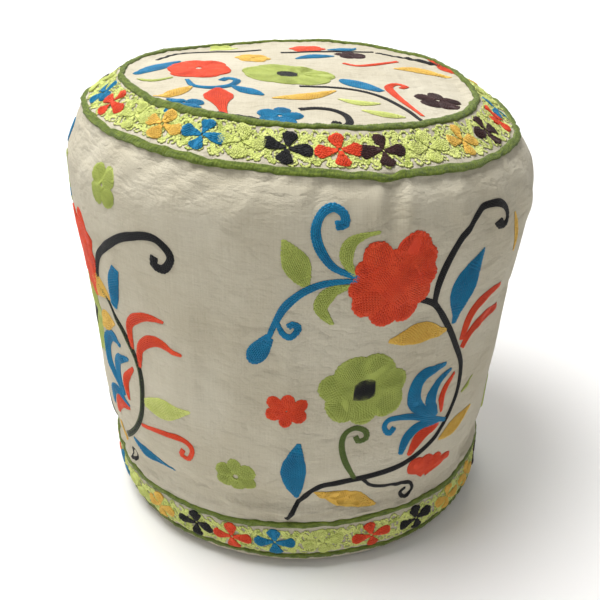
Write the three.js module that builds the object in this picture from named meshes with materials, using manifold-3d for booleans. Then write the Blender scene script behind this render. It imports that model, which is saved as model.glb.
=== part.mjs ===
// Drum-shaped floor pouf: an embroidered cotton cover with a zip across its base, holding a calico
// inner bag that is filled with a foam core and polyester fibre. Millimetres, +Z up, origin at the
// centre of the face that rests on the floor. The zip runs along X.
import * as THREE from "three";
import { mergeVertices } from "three/addons/utils/BufferGeometryUtils.js";
import Module from "manifold-3d";

const wasm = await Module();
wasm.setup();

// ---- Driving dimensions ----------------------------------------------------------------------

// Outline of the filled cover, turned about Z.
const FOOT_RADIUS = 184; // where the wall turns under and meets the base
const HEEL_RADIUS = 201; // where the turned-under corner becomes the wall
const HEEL_HEIGHT = 24;
const SHOULDER_RADIUS = 226; // widest place
const SHOULDER_DROP = 45; // from the rim down to the widest place
const RIM_RADIUS = 205; // seam between wall and top
const RIM_HEIGHT = 405;
const WALL_BOW = 3; // how far the wall bellies out between heel and shoulder
const SHOULDER_REACH = 1; // how far the shoulder's curve leans out before it turns in
const SHOULDER_TURN = 10; // height below the rim at which it turns in
const TOP_BORDER_RUN = 37; // embroidered border on the top, across
const TOP_BORDER_RISE = 27; // and up
const CROWN_RISE = 8; // from the border's inner edge to the flat middle
const CROWN_FLAT_RADIUS = 70;

// Cloth.
const CLOTH = 1.5; // lined cotton canvas
const BINDING = 1.2; // turned-in seam edges
const CALICO = 0.8; // inner bag
const GAP = 0.3; // between pieces that touch
const TOP_BINDING_WIDTH = 16;
const BASE_BINDING_WIDTH = 14;
const BACK_SEAM_WIDTH = 24; // both turned-in edges of the wall's closing seam

// Embroidery that stands on the cover.
const CORD_WIDTH = 7;
const CORD_HEIGHT = 2.4;
const BORDER_THICKNESS = 0.8;
const BASE_BORDER_LOW = 22; // along the wall from the foot to the lower cord's middle
const BASE_BORDER_WIDTH = 42; // between the two cords on the wall

// Filling.
const CORE_RADIUS = 172;
const BASE_PAD_TOP = 28; // the core stands on the base pad
const CROWN_PAD = 50; // fibre above the core, in the middle

// Zip.
const ZIP_MARGIN = 24; // from the foot to each end of the tape
const TAPE_WIDTH = 14.4; // each side
const TAPE_THICKNESS = 0.6;
const TAPE_PAST_COIL = 14;
const COIL_WIDTH = 1.9; // each side
const COIL_HEIGHT = 2;
const COIL_CHANNEL = 3; // between the two coils, for the slider's post
const STOP_LENGTH = 3.7;
const SLIDER_LENGTH = 13;
const SLIDER_FLARE = 0.9; // wider at the nose than at the tail, each side
const PLATE = 1.2;
const FLANGE = 1;
const POST_LENGTH = 3;
const POST_WIDTH = 2.4;
const BAIL_WIDTH = 2;
const BAIL_BAR = 1.1;
const BAIL_OPENING = 2.4; // height of the arch that holds the pull's bar
const BAIL_HALF_OPENING = 2.9;
const PULL_BAR = 1.3;
const PULL_LENGTH = 20; // tab, past its fork
const PULL_WIDTH = 7.5;
const PULL_THICKNESS = 1.2;
const RAIL_WIDTH = 1.3;

// Groove that the zip lies in: the base cloth lifts away from the floor along it.
const GROOVE_DEPTH = 9;
const GROOVE_HALF_FLOOR = 17; // flat part of the groove, each side of the zip
const GROOVE_SIDE = 17; // over which it slopes back to the floor
const ZIP_SLOT_HALF = 7; // the base panels' folded edges stop this far from the zip's middle
const BAG_CLEARANCE = 1.1; // between the slider and the inner bag

const SEGMENTS = 40; // facets round every turned piece, the same for all so that gaps stay even
const CURVE_STEPS = 4;
const SLOPE_STEPS = 4;

// ---- Geometry helpers ------------------------------------------------------------------------

const v2 = (r, z) => new THREE.Vector2(r, z);

// The points of a polyline between two distances along it.
function cut(points, from, to) {
  const made = [];
  let along = 0;
  for (let i = 0; i + 1 < points.length; i++) {
    const [a, b] = [points[i], points[i + 1]];
    const length = a.distanceTo(b);
    const [start, end] = [Math.max(from, along), Math.min(to, along + length)];
    if (end > start) {
      if (!made.length) made.push(a.clone().lerp(b, (start - along) / length));
      made.push(a.clone().lerp(b, (end - along) / length));
    }
    along += length;
  }
  return made;
}

function lengthOf(points) {
  return points.slice(1).reduce((sum, p, i) => sum + p.distanceTo(points[i]), 0);
}

// Distance along a polyline at which it first reaches a height.
function distanceAtHeight(points, height) {
  let along = 0;
  for (let i = 0; i + 1 < points.length; i++) {
    const [a, b] = [points[i], points[i + 1]];
    const length = a.distanceTo(b);
    if (b.y >= height) return along + (length * (height - a.y)) / (b.y - a.y);
    along += length;
  }
  return along;
}

// An outline that runs from the foot up the wall, moved outwards; a negative distance moves it in.
function offset(points, distance) {
  return points.map((p, i) => {
    const before = points[Math.max(i - 1, 0)];
    const after = points[Math.min(i + 1, points.length - 1)];
    const normals = [];
    if (p !== before) normals.push(v2(p.y - before.y, before.x - p.x).normalize());
    if (p !== after) normals.push(v2(after.y - p.y, p.x - after.x).normalize());
    const mean = normals.reduce((sum, n) => sum.add(n), v2(0, 0)).normalize();
    const spread = distance / mean.dot(normals.at(-1).clone().normalize());
    return p.x === 0 ? v2(0, p.y + distance) : p.clone().addScaledVector(mean, spread);
  });
}

// A section in (radius, height) turned about Z.
function turned(section, segments = SEGMENTS) {
  const area = section.reduce((sum, p, i) => {
    const q = section[(i + 1) % section.length];
    return sum + p.x * q.y - q.x * p.y;
  }, 0);
  const outline = area > 0 ? [...section] : [...section].reverse();
  const onAxis = outline.findIndex((p, i) => p.x === 0 && outline.at(i - 1).x === 0);
  if (onAxis >= 0) outline.push(...outline.splice(0, onAxis));
  else outline.push(outline[0].clone());
  return new THREE.LatheGeometry(outline, segments).rotateX(Math.PI / 2);
}

// A closed slab over a grid of X and Y stations, between two height functions. Both faces are split
// into triangles along the same diagonals, so that stacked slabs keep their gap.
function slab(xs, ys, low, high) {
  const [nx, ny] = [xs.length, ys.length];
  const positions = [low, high].flatMap((height) =>
    xs.flatMap((x) => ys.flatMap((y) => [x, y, height(x, y)])),
  );
  const lower = (i, j) => i * ny + j;
  const upper = (i, j) => nx * ny + i * ny + j;
  const index = [];
  const quad = (a, b, c, d) => index.push(a, b, c, a, c, d);
  for (let i = 0; i + 1 < nx; i++) {
    for (let j = 0; j + 1 < ny; j++) {
      quad(upper(i, j), upper(i + 1, j), upper(i + 1, j + 1), upper(i, j + 1));
      index.push(lower(i, j), lower(i + 1, j + 1), lower(i + 1, j));
      index.push(lower(i, j), lower(i, j + 1), lower(i + 1, j + 1));
    }
    quad(lower(i, 0), lower(i + 1, 0), upper(i + 1, 0), upper(i, 0));
    quad(lower(i + 1, ny - 1), lower(i, ny - 1), upper(i, ny - 1), upper(i + 1, ny - 1));
  }
  for (let j = 0; j + 1 < ny; j++) {
    quad(lower(0, j + 1), lower(0, j), upper(0, j), upper(0, j + 1));
    quad(lower(nx - 1, j), lower(nx - 1, j + 1), upper(nx - 1, j + 1), upper(nx - 1, j));
  }
  const geometry = new THREE.BufferGeometry();
  geometry.setAttribute("position", new THREE.Float32BufferAttribute(positions, 3));
  geometry.setIndex(index);
  return geometry;
}

function box(x0, x1, y0, y1, z0, z1) {
  return new THREE.BoxGeometry(x1 - x0, y1 - y0, z1 - z0).translate(
    (x0 + x1) / 2,
    (y0 + y1) / 2,
    (z0 + z1) / 2,
  );
}

function solid(geometry) {
  const bare = geometry.clone();
  bare.deleteAttribute("normal");
  bare.deleteAttribute("uv");
  const merged = mergeVertices(bare, 1e-4);
  return new wasm.Manifold(
    new wasm.Mesh({
      numProp: 3,
      vertProperties: merged.attributes.position.array,
      triVerts: new Uint32Array(merged.index.array),
    }),
  );
}

function geometryOf(manifold) {
  const mesh = manifold.getMesh();
  const geometry = new THREE.BufferGeometry();
  geometry.setAttribute("position", new THREE.BufferAttribute(mesh.vertProperties, 3));
  geometry.setIndex(new THREE.BufferAttribute(mesh.triVerts, 1));
  geometry.computeVertexNormals();
  return geometry;
}

const cutAway = (from, ...tools) =>
  geometryOf(tools.reduce((left, tool) => left.subtract(solid(tool)), solid(from)));
const common = (a, b) => geometryOf(solid(a).intersect(solid(b)));
const joined = (...pieces) =>
  geometryOf(pieces.map(solid).reduce((sum, piece) => sum.add(piece)));

// ---- Materials -------------------------------------------------------------------------------

const material = (color, roughness = 0.9, metalness = 0) =>
  new THREE.MeshStandardMaterial({ color, roughness, metalness });
const canvas = material(0xcfc6b4);
const calico = material(0xe8e2d2);
const darkGreen = material(0x5f8a3a, 0.7);
const lime = material(0xc3d86a, 0.7);
const tape = material(0xd8d0bd);
const coil = material(0xe6e0cf, 0.5);
const brass = material(0x9a8a5a, 0.35, 0.9);
const foam = material(0xe8d88c, 0.95);
const fibre = material(0xf4f4f0, 1);

const pouf = new THREE.Group();

function add(name, geometry, finish) {
  const mesh = new THREE.Mesh(geometry, finish);
  mesh.name = name;
  pouf.add(mesh);
  return mesh;
}

// ---- Outline ---------------------------------------------------------------------------------

const shoulderHeight = RIM_HEIGHT - SHOULDER_DROP;
const wallPath = new THREE.Path();
wallPath.moveTo(FOOT_RADIUS, 0);
wallPath.quadraticCurveTo(HEEL_RADIUS - WALL_BOW, 0, HEEL_RADIUS, HEEL_HEIGHT);
wallPath.quadraticCurveTo(
  (HEEL_RADIUS + SHOULDER_RADIUS) / 2 + WALL_BOW,
  (HEEL_HEIGHT + shoulderHeight) / 2,
  SHOULDER_RADIUS,
  shoulderHeight,
);
wallPath.quadraticCurveTo(
  SHOULDER_RADIUS + SHOULDER_REACH,
  RIM_HEIGHT - SHOULDER_TURN,
  RIM_RADIUS,
  RIM_HEIGHT,
);
const wall = wallPath.getPoints(CURVE_STEPS);

const borderInner = v2(RIM_RADIUS - TOP_BORDER_RUN, RIM_HEIGHT + TOP_BORDER_RISE);
const crownHeight = borderInner.y + CROWN_RISE;
const topPath = new THREE.Path();
topPath.moveTo(RIM_RADIUS, RIM_HEIGHT);
topPath.lineTo(borderInner.x, borderInner.y);
topPath.quadraticCurveTo(
  (borderInner.x + CROWN_FLAT_RADIUS) / 2,
  crownHeight,
  CROWN_FLAT_RADIUS,
  crownHeight,
);
topPath.lineTo(0, crownHeight);
const top = topPath.getPoints(CURVE_STEPS);

const wallLength = lengthOf(wall);
const topBorderLength = Math.hypot(TOP_BORDER_RUN, TOP_BORDER_RISE);

const outline = [...wall, ...top.slice(1)];
const wallPart = [0, wall.length];
const topPart = [wall.length - 1, outline.length];

// The closed section of a cloth layer that lies between two offsets of one part of the outline.
// Its ends are cut along the mitre where the parts meet, and keep gives the stretch that is left.
function layer(part, outer, inner, keep = (length) => [GAP, length - GAP]) {
  const face = (distance) => {
    const points = offset(outline, distance).slice(...part);
    return cut(points, ...keep(lengthOf(points)));
  };
  return [...face(outer), ...face(inner).reverse()];
}
const upToAxis = (length) => [GAP, length];

// ---- Cover -----------------------------------------------------------------------------------

// The wall is one strip whose two ends meet in a seam at the back.
const sidePanel = turned(layer(wallPart, 0, -CLOTH));
const backOut = SHOULDER_RADIUS + CORD_WIDTH;
const seamCut = box(-GAP / 2, GAP / 2, 0, backOut, -GAP, crownHeight);
add("side_panel", cutAway(sidePanel, seamCut), canvas);

add("top_panel", turned(layer(topPart, 0, -CLOTH, upToAxis)), canvas);

const bindingOut = -(CLOTH + GAP);
const bindingIn = bindingOut - BINDING;
const binding = (keep) => turned(layer(wallPart, bindingOut, bindingIn, keep));
const topBinding = binding((length) => [length - TOP_BINDING_WIDTH, length - GAP]);
const baseBinding = binding(() => [GAP, BASE_BINDING_WIDTH]);
add("top_seam_binding", topBinding, calico);
add("base_seam_binding", baseBinding, calico);
add(
  "back_seam_binding",
  common(
    binding((length) => [BASE_BINDING_WIDTH + GAP, length - TOP_BINDING_WIDTH - GAP]),
    box(-BACK_SEAM_WIDTH / 2, BACK_SEAM_WIDTH / 2, 0, backOut, 0, crownHeight),
  ),
  calico,
);

// The zip's tape ends a little way in from the foot, and its coil a little way in from that.
const zipReach = FOOT_RADIUS - ZIP_MARGIN;
const coilReach = zipReach - TAPE_PAST_COIL;
const tapeLow = GROOVE_DEPTH + CLOTH + GAP;
const upperPlateLow = tapeLow + TAPE_THICKNESS + GAP;
const bagOverZip = upperPlateLow + PLATE + BAG_CLEARANCE;

// How far a layer of the base is lifted over the zip, from 0 to 1. A layer that lies further in
// starts its slope further out.
function lift(x, y, further) {
  const ease = (t) => (1 + Math.cos(Math.PI * Math.min(1, Math.max(0, t)))) / 2;
  const across = (Math.abs(y) - GROOVE_HALF_FLOOR - further) / (GROOVE_SIDE + further);
  const ends = FOOT_RADIUS - zipReach - 2 * CLOTH;
  const along = (Math.abs(x) - zipReach) / ends;
  return ease(across) * ease(along);
}

function stations(flat, slope, reach) {
  const half = [];
  for (let i = 0; i <= SLOPE_STEPS; i++) half.push(flat + (slope * i) / SLOPE_STEPS);
  half.push(reach);
  return [...half.map((s) => -s).reverse(), ...half];
}

// A base layer: thickness above a lifted lower face, trimmed to a turned outline.
function baseLayer(low, high, further, outline) {
  const reach = FOOT_RADIUS + HEEL_HEIGHT;
  const ends = FOOT_RADIUS - zipReach - 2 * CLOTH;
  const xs = stations(zipReach, ends, reach);
  const ys = stations(GROOVE_HALF_FLOOR + further, GROOVE_SIDE + further, reach);
  return common(
    slab(xs, ys, (x, y) => low(lift(x, y, further)), (x, y) => high(lift(x, y, further))),
    turned(outline),
  );
}

const baseRadius = FOOT_RADIUS - 2 * GAP;
const disc = (radius, low, high) => [
  v2(0, low),
  v2(radius, low),
  v2(radius, high),
  v2(0, high),
];

const baseDisc = baseLayer(
  (raise) => GROOVE_DEPTH * raise,
  (raise) => GROOVE_DEPTH * raise + CLOTH,
  0,
  disc(baseRadius, -1, crownHeight),
);
const zipSlot = box(
  -zipReach + CLOTH,
  zipReach - CLOTH,
  -ZIP_SLOT_HALF,
  ZIP_SLOT_HALF,
  -1,
  crownHeight,
);
for (const [side, y0, y1] of [
  ["front", -FOOT_RADIUS, -GAP / 2],
  ["back", GAP / 2, FOOT_RADIUS],
]) {
  const half = box(-FOOT_RADIUS, FOOT_RADIUS, y0, y1, -1, crownHeight);
  add(`base_panel_${side}`, cutAway(common(baseDisc, half), zipSlot), canvas);
}

// ---- Embroidered cords and borders -----------------------------------------------------------

// A flattened cord that lies on the outline, with its middle at a distance along it.
function cordOn(points, along) {
  const [a, b] = [cut(points, along - 1, along).at(-1), cut(points, along, along + 1).at(-1)];
  const before = cut(points, along - 1, along)[0];
  const tangent = b.clone().sub(before).normalize();
  const normal = v2(tangent.y, -tangent.x);
  const middle = a.clone().addScaledVector(normal, GAP + CORD_HEIGHT / 2);
  const steps = 8;
  return Array.from({ length: steps }, (_, i) => {
    const angle = (2 * Math.PI * i) / steps;
    return middle
      .clone()
      .addScaledVector(tangent, (Math.cos(angle) * CORD_WIDTH) / 2)
      .addScaledVector(normal, (Math.sin(angle) * CORD_HEIGHT) / 2);
  });
}

const baseBorderHigh = BASE_BORDER_LOW + BASE_BORDER_WIDTH;
const cords = {
  base_lower_cord: BASE_BORDER_LOW,
  base_upper_cord: baseBorderHigh,
  top_outer_cord: wallLength,
  top_inner_cord: wallLength + topBorderLength,
};
for (const [name, along] of Object.entries(cords)) {
  add(name, turned(cordOn(outline, along)), darkGreen);
}

const borderMargin = CORD_WIDTH / 2 + 2 * GAP;
const borders = {
  base_border: [wallPart, BASE_BORDER_LOW, baseBorderHigh],
  top_border: [topPart, 0, topBorderLength],
};
for (const [name, [part, from, to]] of Object.entries(borders)) {
  const keep = () => [from + borderMargin, to - borderMargin];
  add(name, turned(layer(part, GAP + BORDER_THICKNESS, GAP, keep)), lime);
}

// ---- Inner bag -------------------------------------------------------------------------------

const bagOut = bindingIn - GAP;
const bagIn = bagOut - CALICO;
add("inner_bag_side", turned(layer(wallPart, bagOut, bagIn)), calico);
add("inner_bag_top", turned(layer(topPart, bagOut, bagIn, upToAxis)), calico);

const bagFloor = CLOTH + 2 * GAP;
const bagLift = bagOverZip - bagFloor;
const bagFurther = 2; // the bag's groove is wider than the cover's by this much each side
add(
  "inner_bag_base",
  baseLayer(
    (raise) => bagFloor + bagLift * raise,
    (raise) => bagFloor + bagLift * raise + CALICO,
    bagFurther,
    disc(baseRadius - GAP, 0, crownHeight),
  ),
  calico,
);

// ---- Filling ---------------------------------------------------------------------------------

const fillOut = bagIn - GAP;
const coreTop = crownHeight - CROWN_PAD;
const fill = offset(outline, fillOut);

add(
  "foam_core",
  turned(disc(CORE_RADIUS, BASE_PAD_TOP + GAP, coreTop)),
  foam,
);

const wrapLow = distanceAtHeight(fill, BASE_PAD_TOP + GAP);
const wrapHigh = distanceAtHeight(fill, coreTop);
add(
  "fibre_wrap",
  turned([
    v2(CORE_RADIUS + GAP, BASE_PAD_TOP + GAP),
    ...cut(fill, wrapLow, wrapHigh),
    v2(CORE_RADIUS + GAP, coreTop),
  ]),
  fibre,
);

const crownLow = distanceAtHeight(fill, coreTop + GAP);
add(
  "fibre_crown",
  turned([v2(0, coreTop + GAP), ...cut(fill, crownLow, lengthOf(fill))]),
  fibre,
);

const padFloor = bagFloor + CALICO + GAP;
const padEdge = cut(fill, 0, distanceAtHeight(fill, BASE_PAD_TOP));
add(
  "fibre_base_pad",
  baseLayer(
    (raise) => padFloor + bagLift * raise,
    () => BASE_PAD_TOP,
    bagFurther,
    [v2(0, padFloor), v2(baseRadius - 3 * GAP, padFloor), ...padEdge, v2(0, BASE_PAD_TOP)],
  ),
  fibre,
);

// ---- Zip -------------------------------------------------------------------------------------

const coilHigh = tapeLow - GAP;
const coilLow = coilHigh - COIL_HEIGHT;
const channelHalf = COIL_CHANNEL / 2;
const coilOuter = channelHalf + COIL_WIDTH;

for (const [side, sign] of [
  ["front", -1],
  ["back", 1],
]) {
  const across = (a, b) => [Math.min(sign * a, sign * b), Math.max(sign * a, sign * b)];
  add(
    `zip_tape_${side}`,
    box(
      -zipReach + GAP,
      zipReach - GAP,
      ...across(channelHalf, channelHalf + TAPE_WIDTH),
      tapeLow,
      tapeLow + TAPE_THICKNESS,
    ),
    tape,
  );
  const coilBox = box(-coilReach, coilReach, ...across(channelHalf, coilOuter), coilLow, coilHigh);
  add(`zip_coil_${side}`, coilBox, coil);
  add(
    `zip_top_stop_${side}`,
    box(
      -coilReach - GAP - STOP_LENGTH,
      -coilReach - GAP,
      ...across(GAP, coilOuter),
      coilLow,
      coilHigh,
    ),
    brass,
  );
}
add(
  "zip_bottom_stop",
  box(coilReach + GAP, coilReach + GAP + STOP_LENGTH, -coilOuter, coilOuter, coilLow, coilHigh),
  brass,
);

// A flat plate from an outline in X and Y.
function plate(points, low, thickness) {
  const shape = new THREE.Shape(points.map(([x, y]) => v2(x, y)));
  return new THREE.ExtrudeGeometry(shape, { depth: thickness, bevelEnabled: false }).translate(
    0,
    0,
    low,
  );
}

// The slider at the closed end: two plates joined by a post between the coils, with flanges beside
// the coils and an arch under the lower plate for the pull.
const sliderNose = -coilReach + GAP;
const sliderTail = sliderNose + SLIDER_LENGTH;
const hingeX = sliderNose + SLIDER_LENGTH / 2;
const lowerPlateTop = coilLow - GAP;
const lowerPlateLow = lowerPlateTop - PLATE;
const tailHalf = coilOuter + GAP + FLANGE;
const noseHalf = tailHalf + SLIDER_FLARE;
const sliderOutline = [
  [sliderNose + PLATE, -noseHalf],
  [sliderTail, -tailHalf],
  [sliderTail, tailHalf],
  [sliderNose + PLATE, noseHalf],
  [sliderNose, noseHalf - PLATE],
  [sliderNose, -noseHalf + PLATE],
];
const flangeOutline = (sign) => {
  const points = [
    [sliderNose + PLATE, sign * noseHalf],
    [sliderTail, sign * tailHalf],
    [sliderTail, sign * (tailHalf - FLANGE)],
    [sliderNose + PLATE, sign * (noseHalf - FLANGE)],
  ];
  return sign > 0 ? points.reverse() : points;
};
const sink = 0.2; // overlap that makes a joined piece's parts one
const bailLow = lowerPlateLow - BAIL_OPENING - BAIL_BAR;
const bailLeg = (sign) => {
  const [a, b] = [hingeX + sign * BAIL_HALF_OPENING, hingeX + sign * (BAIL_HALF_OPENING + BAIL_BAR)];
  return box(
    Math.min(a, b),
    Math.max(a, b),
    -BAIL_WIDTH / 2,
    BAIL_WIDTH / 2,
    bailLow,
    lowerPlateLow + sink,
  );
};
add(
  "zip_slider",
  joined(
    plate(sliderOutline, lowerPlateLow, PLATE),
    plate(sliderOutline, upperPlateLow, PLATE),
    plate(flangeOutline(-1), lowerPlateTop - sink, tapeLow - GAP - lowerPlateTop + sink),
    plate(flangeOutline(1), lowerPlateTop - sink, tapeLow - GAP - lowerPlateTop + sink),
    box(
      sliderNose + GAP,
      sliderNose + GAP + POST_LENGTH,
      -POST_WIDTH / 2,
      POST_WIDTH / 2,
      lowerPlateTop - sink,
      upperPlateLow + sink,
    ),
    bailLeg(-1),
    bailLeg(1),
    box(
      hingeX - BAIL_HALF_OPENING,
      hingeX + BAIL_HALF_OPENING,
      -BAIL_WIDTH / 2,
      BAIL_WIDTH / 2,
      bailLow,
      bailLow + BAIL_BAR,
    ),
  ),
  brass,
);

// The pull: a round bar through the arch, two rails past it and a flat tab with a slot.
const hingeZ = lowerPlateLow - BAIL_OPENING / 2;
const railInner = BAIL_WIDTH / 2 + 2 * GAP;
const railOuter = railInner + RAIL_WIDTH;
const bailCorner = Math.hypot(BAIL_HALF_OPENING + BAIL_BAR, BAIL_OPENING / 2 + BAIL_BAR);
const tabStart = hingeX + bailCorner + 2 * GAP;
const tabEnd = tabStart + PULL_LENGTH;
const tabLow = hingeZ - PULL_THICKNESS / 2;
const tabHigh = hingeZ + PULL_THICKNESS / 2;
const bar = new THREE.CylinderGeometry(PULL_BAR / 2, PULL_BAR / 2, 2 * railOuter, 10).translate(
  hingeX,
  0,
  hingeZ,
);
const tabShape = new THREE.Shape();
const tabHalf = PULL_WIDTH / 2;
tabShape.moveTo(tabStart, -railOuter);
tabShape.lineTo(tabEnd - tabHalf, -tabHalf);
tabShape.absarc(tabEnd - tabHalf, 0, tabHalf, -Math.PI / 2, Math.PI / 2, false);
tabShape.lineTo(tabStart, railOuter);
const slotHalf = PULL_THICKNESS;
const tabSlot = new THREE.Path();
tabSlot.absarc(tabEnd - tabHalf, 0, slotHalf, -Math.PI / 2, Math.PI / 2, false);
tabSlot.absarc(tabStart + 2 * tabHalf, 0, slotHalf, Math.PI / 2, (3 * Math.PI) / 2, false);
tabShape.holes.push(tabSlot);
const tabPlate = new THREE.ExtrudeGeometry(tabShape, {
  depth: PULL_THICKNESS,
  bevelEnabled: false,
  curveSegments: 6,
}).translate(0, 0, tabLow);
const rail = (sign) =>
  box(
    hingeX,
    tabStart + sink,
    Math.min(sign * railInner, sign * railOuter),
    Math.max(sign * railInner, sign * railOuter),
    tabLow,
    tabHigh,
  );
add("zip_pull_tab", joined(bar, rail(-1), rail(1), tabPlate), brass);

export default pouf;
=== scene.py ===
"""Drum pouf: an embroidered cotton cover with a zip across its base, over a filled inner bag.

The cover is one skin, worked out on a grid of angle and distance up the outline. It is filled by a
cloth simulation, folded, and then cut into the sewn panels. Every stitch, cord and border
is laid on that skin. Lengths are in millimetres until a mesh is made.
"""

import math

import bmesh
import bpy
import numpy as np
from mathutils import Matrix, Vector


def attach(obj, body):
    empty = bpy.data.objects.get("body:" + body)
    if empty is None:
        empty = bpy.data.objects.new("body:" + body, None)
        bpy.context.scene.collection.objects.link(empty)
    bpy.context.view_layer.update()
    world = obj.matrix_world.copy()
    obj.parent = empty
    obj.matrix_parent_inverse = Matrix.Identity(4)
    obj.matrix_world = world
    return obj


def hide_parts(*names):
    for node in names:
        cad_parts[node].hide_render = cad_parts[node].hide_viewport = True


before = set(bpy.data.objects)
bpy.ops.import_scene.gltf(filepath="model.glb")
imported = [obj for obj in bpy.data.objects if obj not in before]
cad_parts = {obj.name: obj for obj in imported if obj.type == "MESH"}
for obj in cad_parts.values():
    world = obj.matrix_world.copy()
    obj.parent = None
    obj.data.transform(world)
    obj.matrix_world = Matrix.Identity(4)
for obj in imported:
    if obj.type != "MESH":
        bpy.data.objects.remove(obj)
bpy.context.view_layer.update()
MM = 0.001
RANDOM = np.random.default_rng(11)

# ---- Outline, as in the CAD part ---------------------------------------------------------------

FOOT = (184.0, 0.0)
HEEL = (201.0, 24.0)
SHOULDER = (226.0, 360.0)
RIM = (205.0, 405.0)
BORDER_INNER = (168.0, 432.0)
CROWN_EDGE = (70.0, 440.0)
CROWN = (0.0, 440.0)
WALL_BOW = 3.0
CLOTH = 1.5
GAP = 0.3
BASE_LOWER_CORD = 22.0  # distances up the outline from the foot
BASE_UPPER_CORD = 64.0
GIRTH_RADIUS = 215.0  # the wall's patterns are drawn at this radius


def bend(start, control, end, steps=60):
    t = np.linspace(0, 1, steps)[:, None]
    start, control, end = (np.array(p, float) for p in (start, control, end))
    return (1 - t) ** 2 * start + 2 * t * (1 - t) * control + t**2 * end


def line(start, end, steps=60):
    return bend(start, (np.array(start) + np.array(end)) / 2, end, steps)


wall_outline = np.vstack(
    [
        bend(FOOT, (HEEL[0] - WALL_BOW, 0), HEEL),
        bend(
            HEEL,
            ((HEEL[0] + SHOULDER[0]) / 2 + WALL_BOW, (HEEL[1] + SHOULDER[1]) / 2),
            SHOULDER,
        )[1:],
        bend(SHOULDER, (SHOULDER[0] + 1, RIM[1] - 10), RIM)[1:],
    ]
)
top_outline = np.vstack(
    [
        line(RIM, BORDER_INNER),
        bend(
            BORDER_INNER,
            ((BORDER_INNER[0] + CROWN_EDGE[0]) / 2, CROWN_EDGE[1]),
            CROWN_EDGE,
        )[1:],
        line(CROWN_EDGE, CROWN)[1:],
    ]
)
outline = np.vstack([wall_outline, top_outline[1:]])
outline_s = np.concatenate([[0], np.cumsum(np.hypot(*np.diff(outline, axis=0).T))])
WALL_LENGTH = outline_s[len(wall_outline) - 1]
TOP_INNER_CORD = WALL_LENGTH + math.dist(RIM, BORDER_INNER)
OUTLINE_LENGTH = outline_s[-1]


def height_to_s(z):
    """Distance up the outline at which the wall has a height."""
    return np.interp(z, wall_outline[:, 1], outline_s[: len(wall_outline)])


def radius_to_s(r):
    """Distance up the outline at which the top has a radius."""
    rising = outline_s[len(wall_outline) - 1 :]
    return np.interp(-np.asarray(r), -top_outline[:, 0], rising)


def smooth_step(t):
    t = np.clip(t, 0, 1)
    return t * t * (3 - 2 * t)


# ---- How the filled pouf slumps ----------------------------------------------------------------

TOP_TILT = 0.077  # the top slopes down to the right
BACK_RISE = 0.038  # and up to the back
BACK_TWIST = 0.00041
TILT_FROM = 120.0
LEAN = 4.0  # the lower wall leans to the left
LEFT_SHOULDER = (-5.0, 386.0, 15.0)  # how far it stands out, its middle height and its spread
LEFT_BULGE = (7.0, 325.0, 70.0)
RIGHT_BULGE = (12.0, 335.0, 85.0)


def lump(z, shape):
    size, middle, spread = shape
    return size * np.exp(-(((z - middle) / spread) ** 2))


def slump(p):
    """Moves points of the even drum to where the soft one has them."""
    x, y, z = p[..., 0], p[..., 1], p[..., 2]
    up = smooth_step((z - TILT_FROM) / (RIM[1] - TILT_FROM))
    low = smooth_step(z / 60)
    angle = np.arctan2(x, -y)
    swell = 1 + low * (
        0.006 * np.sin(2 * angle + 0.6 + z * 0.006)
        + 0.005 * np.sin(3 * angle - 1.1 - z * 0.009)
    )
    to_right = np.sin(angle)
    left = (lump(z, LEFT_SHOULDER) + lump(z, LEFT_BULGE)) * np.clip(-to_right, 0, 1) ** 2
    right = lump(z, RIGHT_BULGE) * np.clip(to_right, 0, 1) ** 2
    r = np.hypot(x, y)
    swell = swell + (left + right) * smooth_step((r - 110) / 80) / np.maximum(r, 100)
    behind = np.maximum(y, 0)
    rise = -TOP_TILT * x + behind * (BACK_RISE + BACK_TWIST * x)
    x = x * swell - LEAN * low * (1 - up)
    return np.stack([x, y * swell, z + rise * up], axis=-1)


# ---- The skin ----------------------------------------------------------------------------------

TURN_STEPS = 400
RISE_STEPS = 240


def turned_grid(turns, rises, offset=0.0):
    """Points of the outline turned about Z: angle 0 faces -Y, and grows towards +X."""
    angle = np.arange(turns) * 2 * math.pi / turns
    s = np.linspace(0, OUTLINE_LENGTH, rises)
    r = np.interp(s, outline_s, outline[:, 0])
    z = np.interp(s, outline_s, outline[:, 1])
    if offset:
        dr, dz = np.gradient(r), np.gradient(z)
        length = np.hypot(dr, dz)
        r, z = np.maximum(r + offset * dz / length, 0), z - offset * dr / length
    return np.stack(
        [
            np.sin(angle)[:, None] * r,
            -np.cos(angle)[:, None] * r,
            np.broadcast_to(z, (turns, rises)),
        ],
        axis=-1,
    )


def grid_normals(points):
    around = np.roll(points, -1, axis=0) - np.roll(points, 1, axis=0)
    up = np.gradient(points, axis=1)
    normals = np.cross(around, up)
    length = np.linalg.norm(normals, axis=-1, keepdims=True)
    normals = normals / np.maximum(length, 1e-9)
    normals[:, -1] = (0, 0, 1)
    return normals


def cubic_weights(t):
    return np.stack(
        [
            -0.5 * t + t**2 - 0.5 * t**3,
            1 - 2.5 * t**2 + 1.5 * t**3,
            0.5 * t + 2 * t**2 - 1.5 * t**3,
            -0.5 * t**2 + 0.5 * t**3,
        ]
    )


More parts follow.
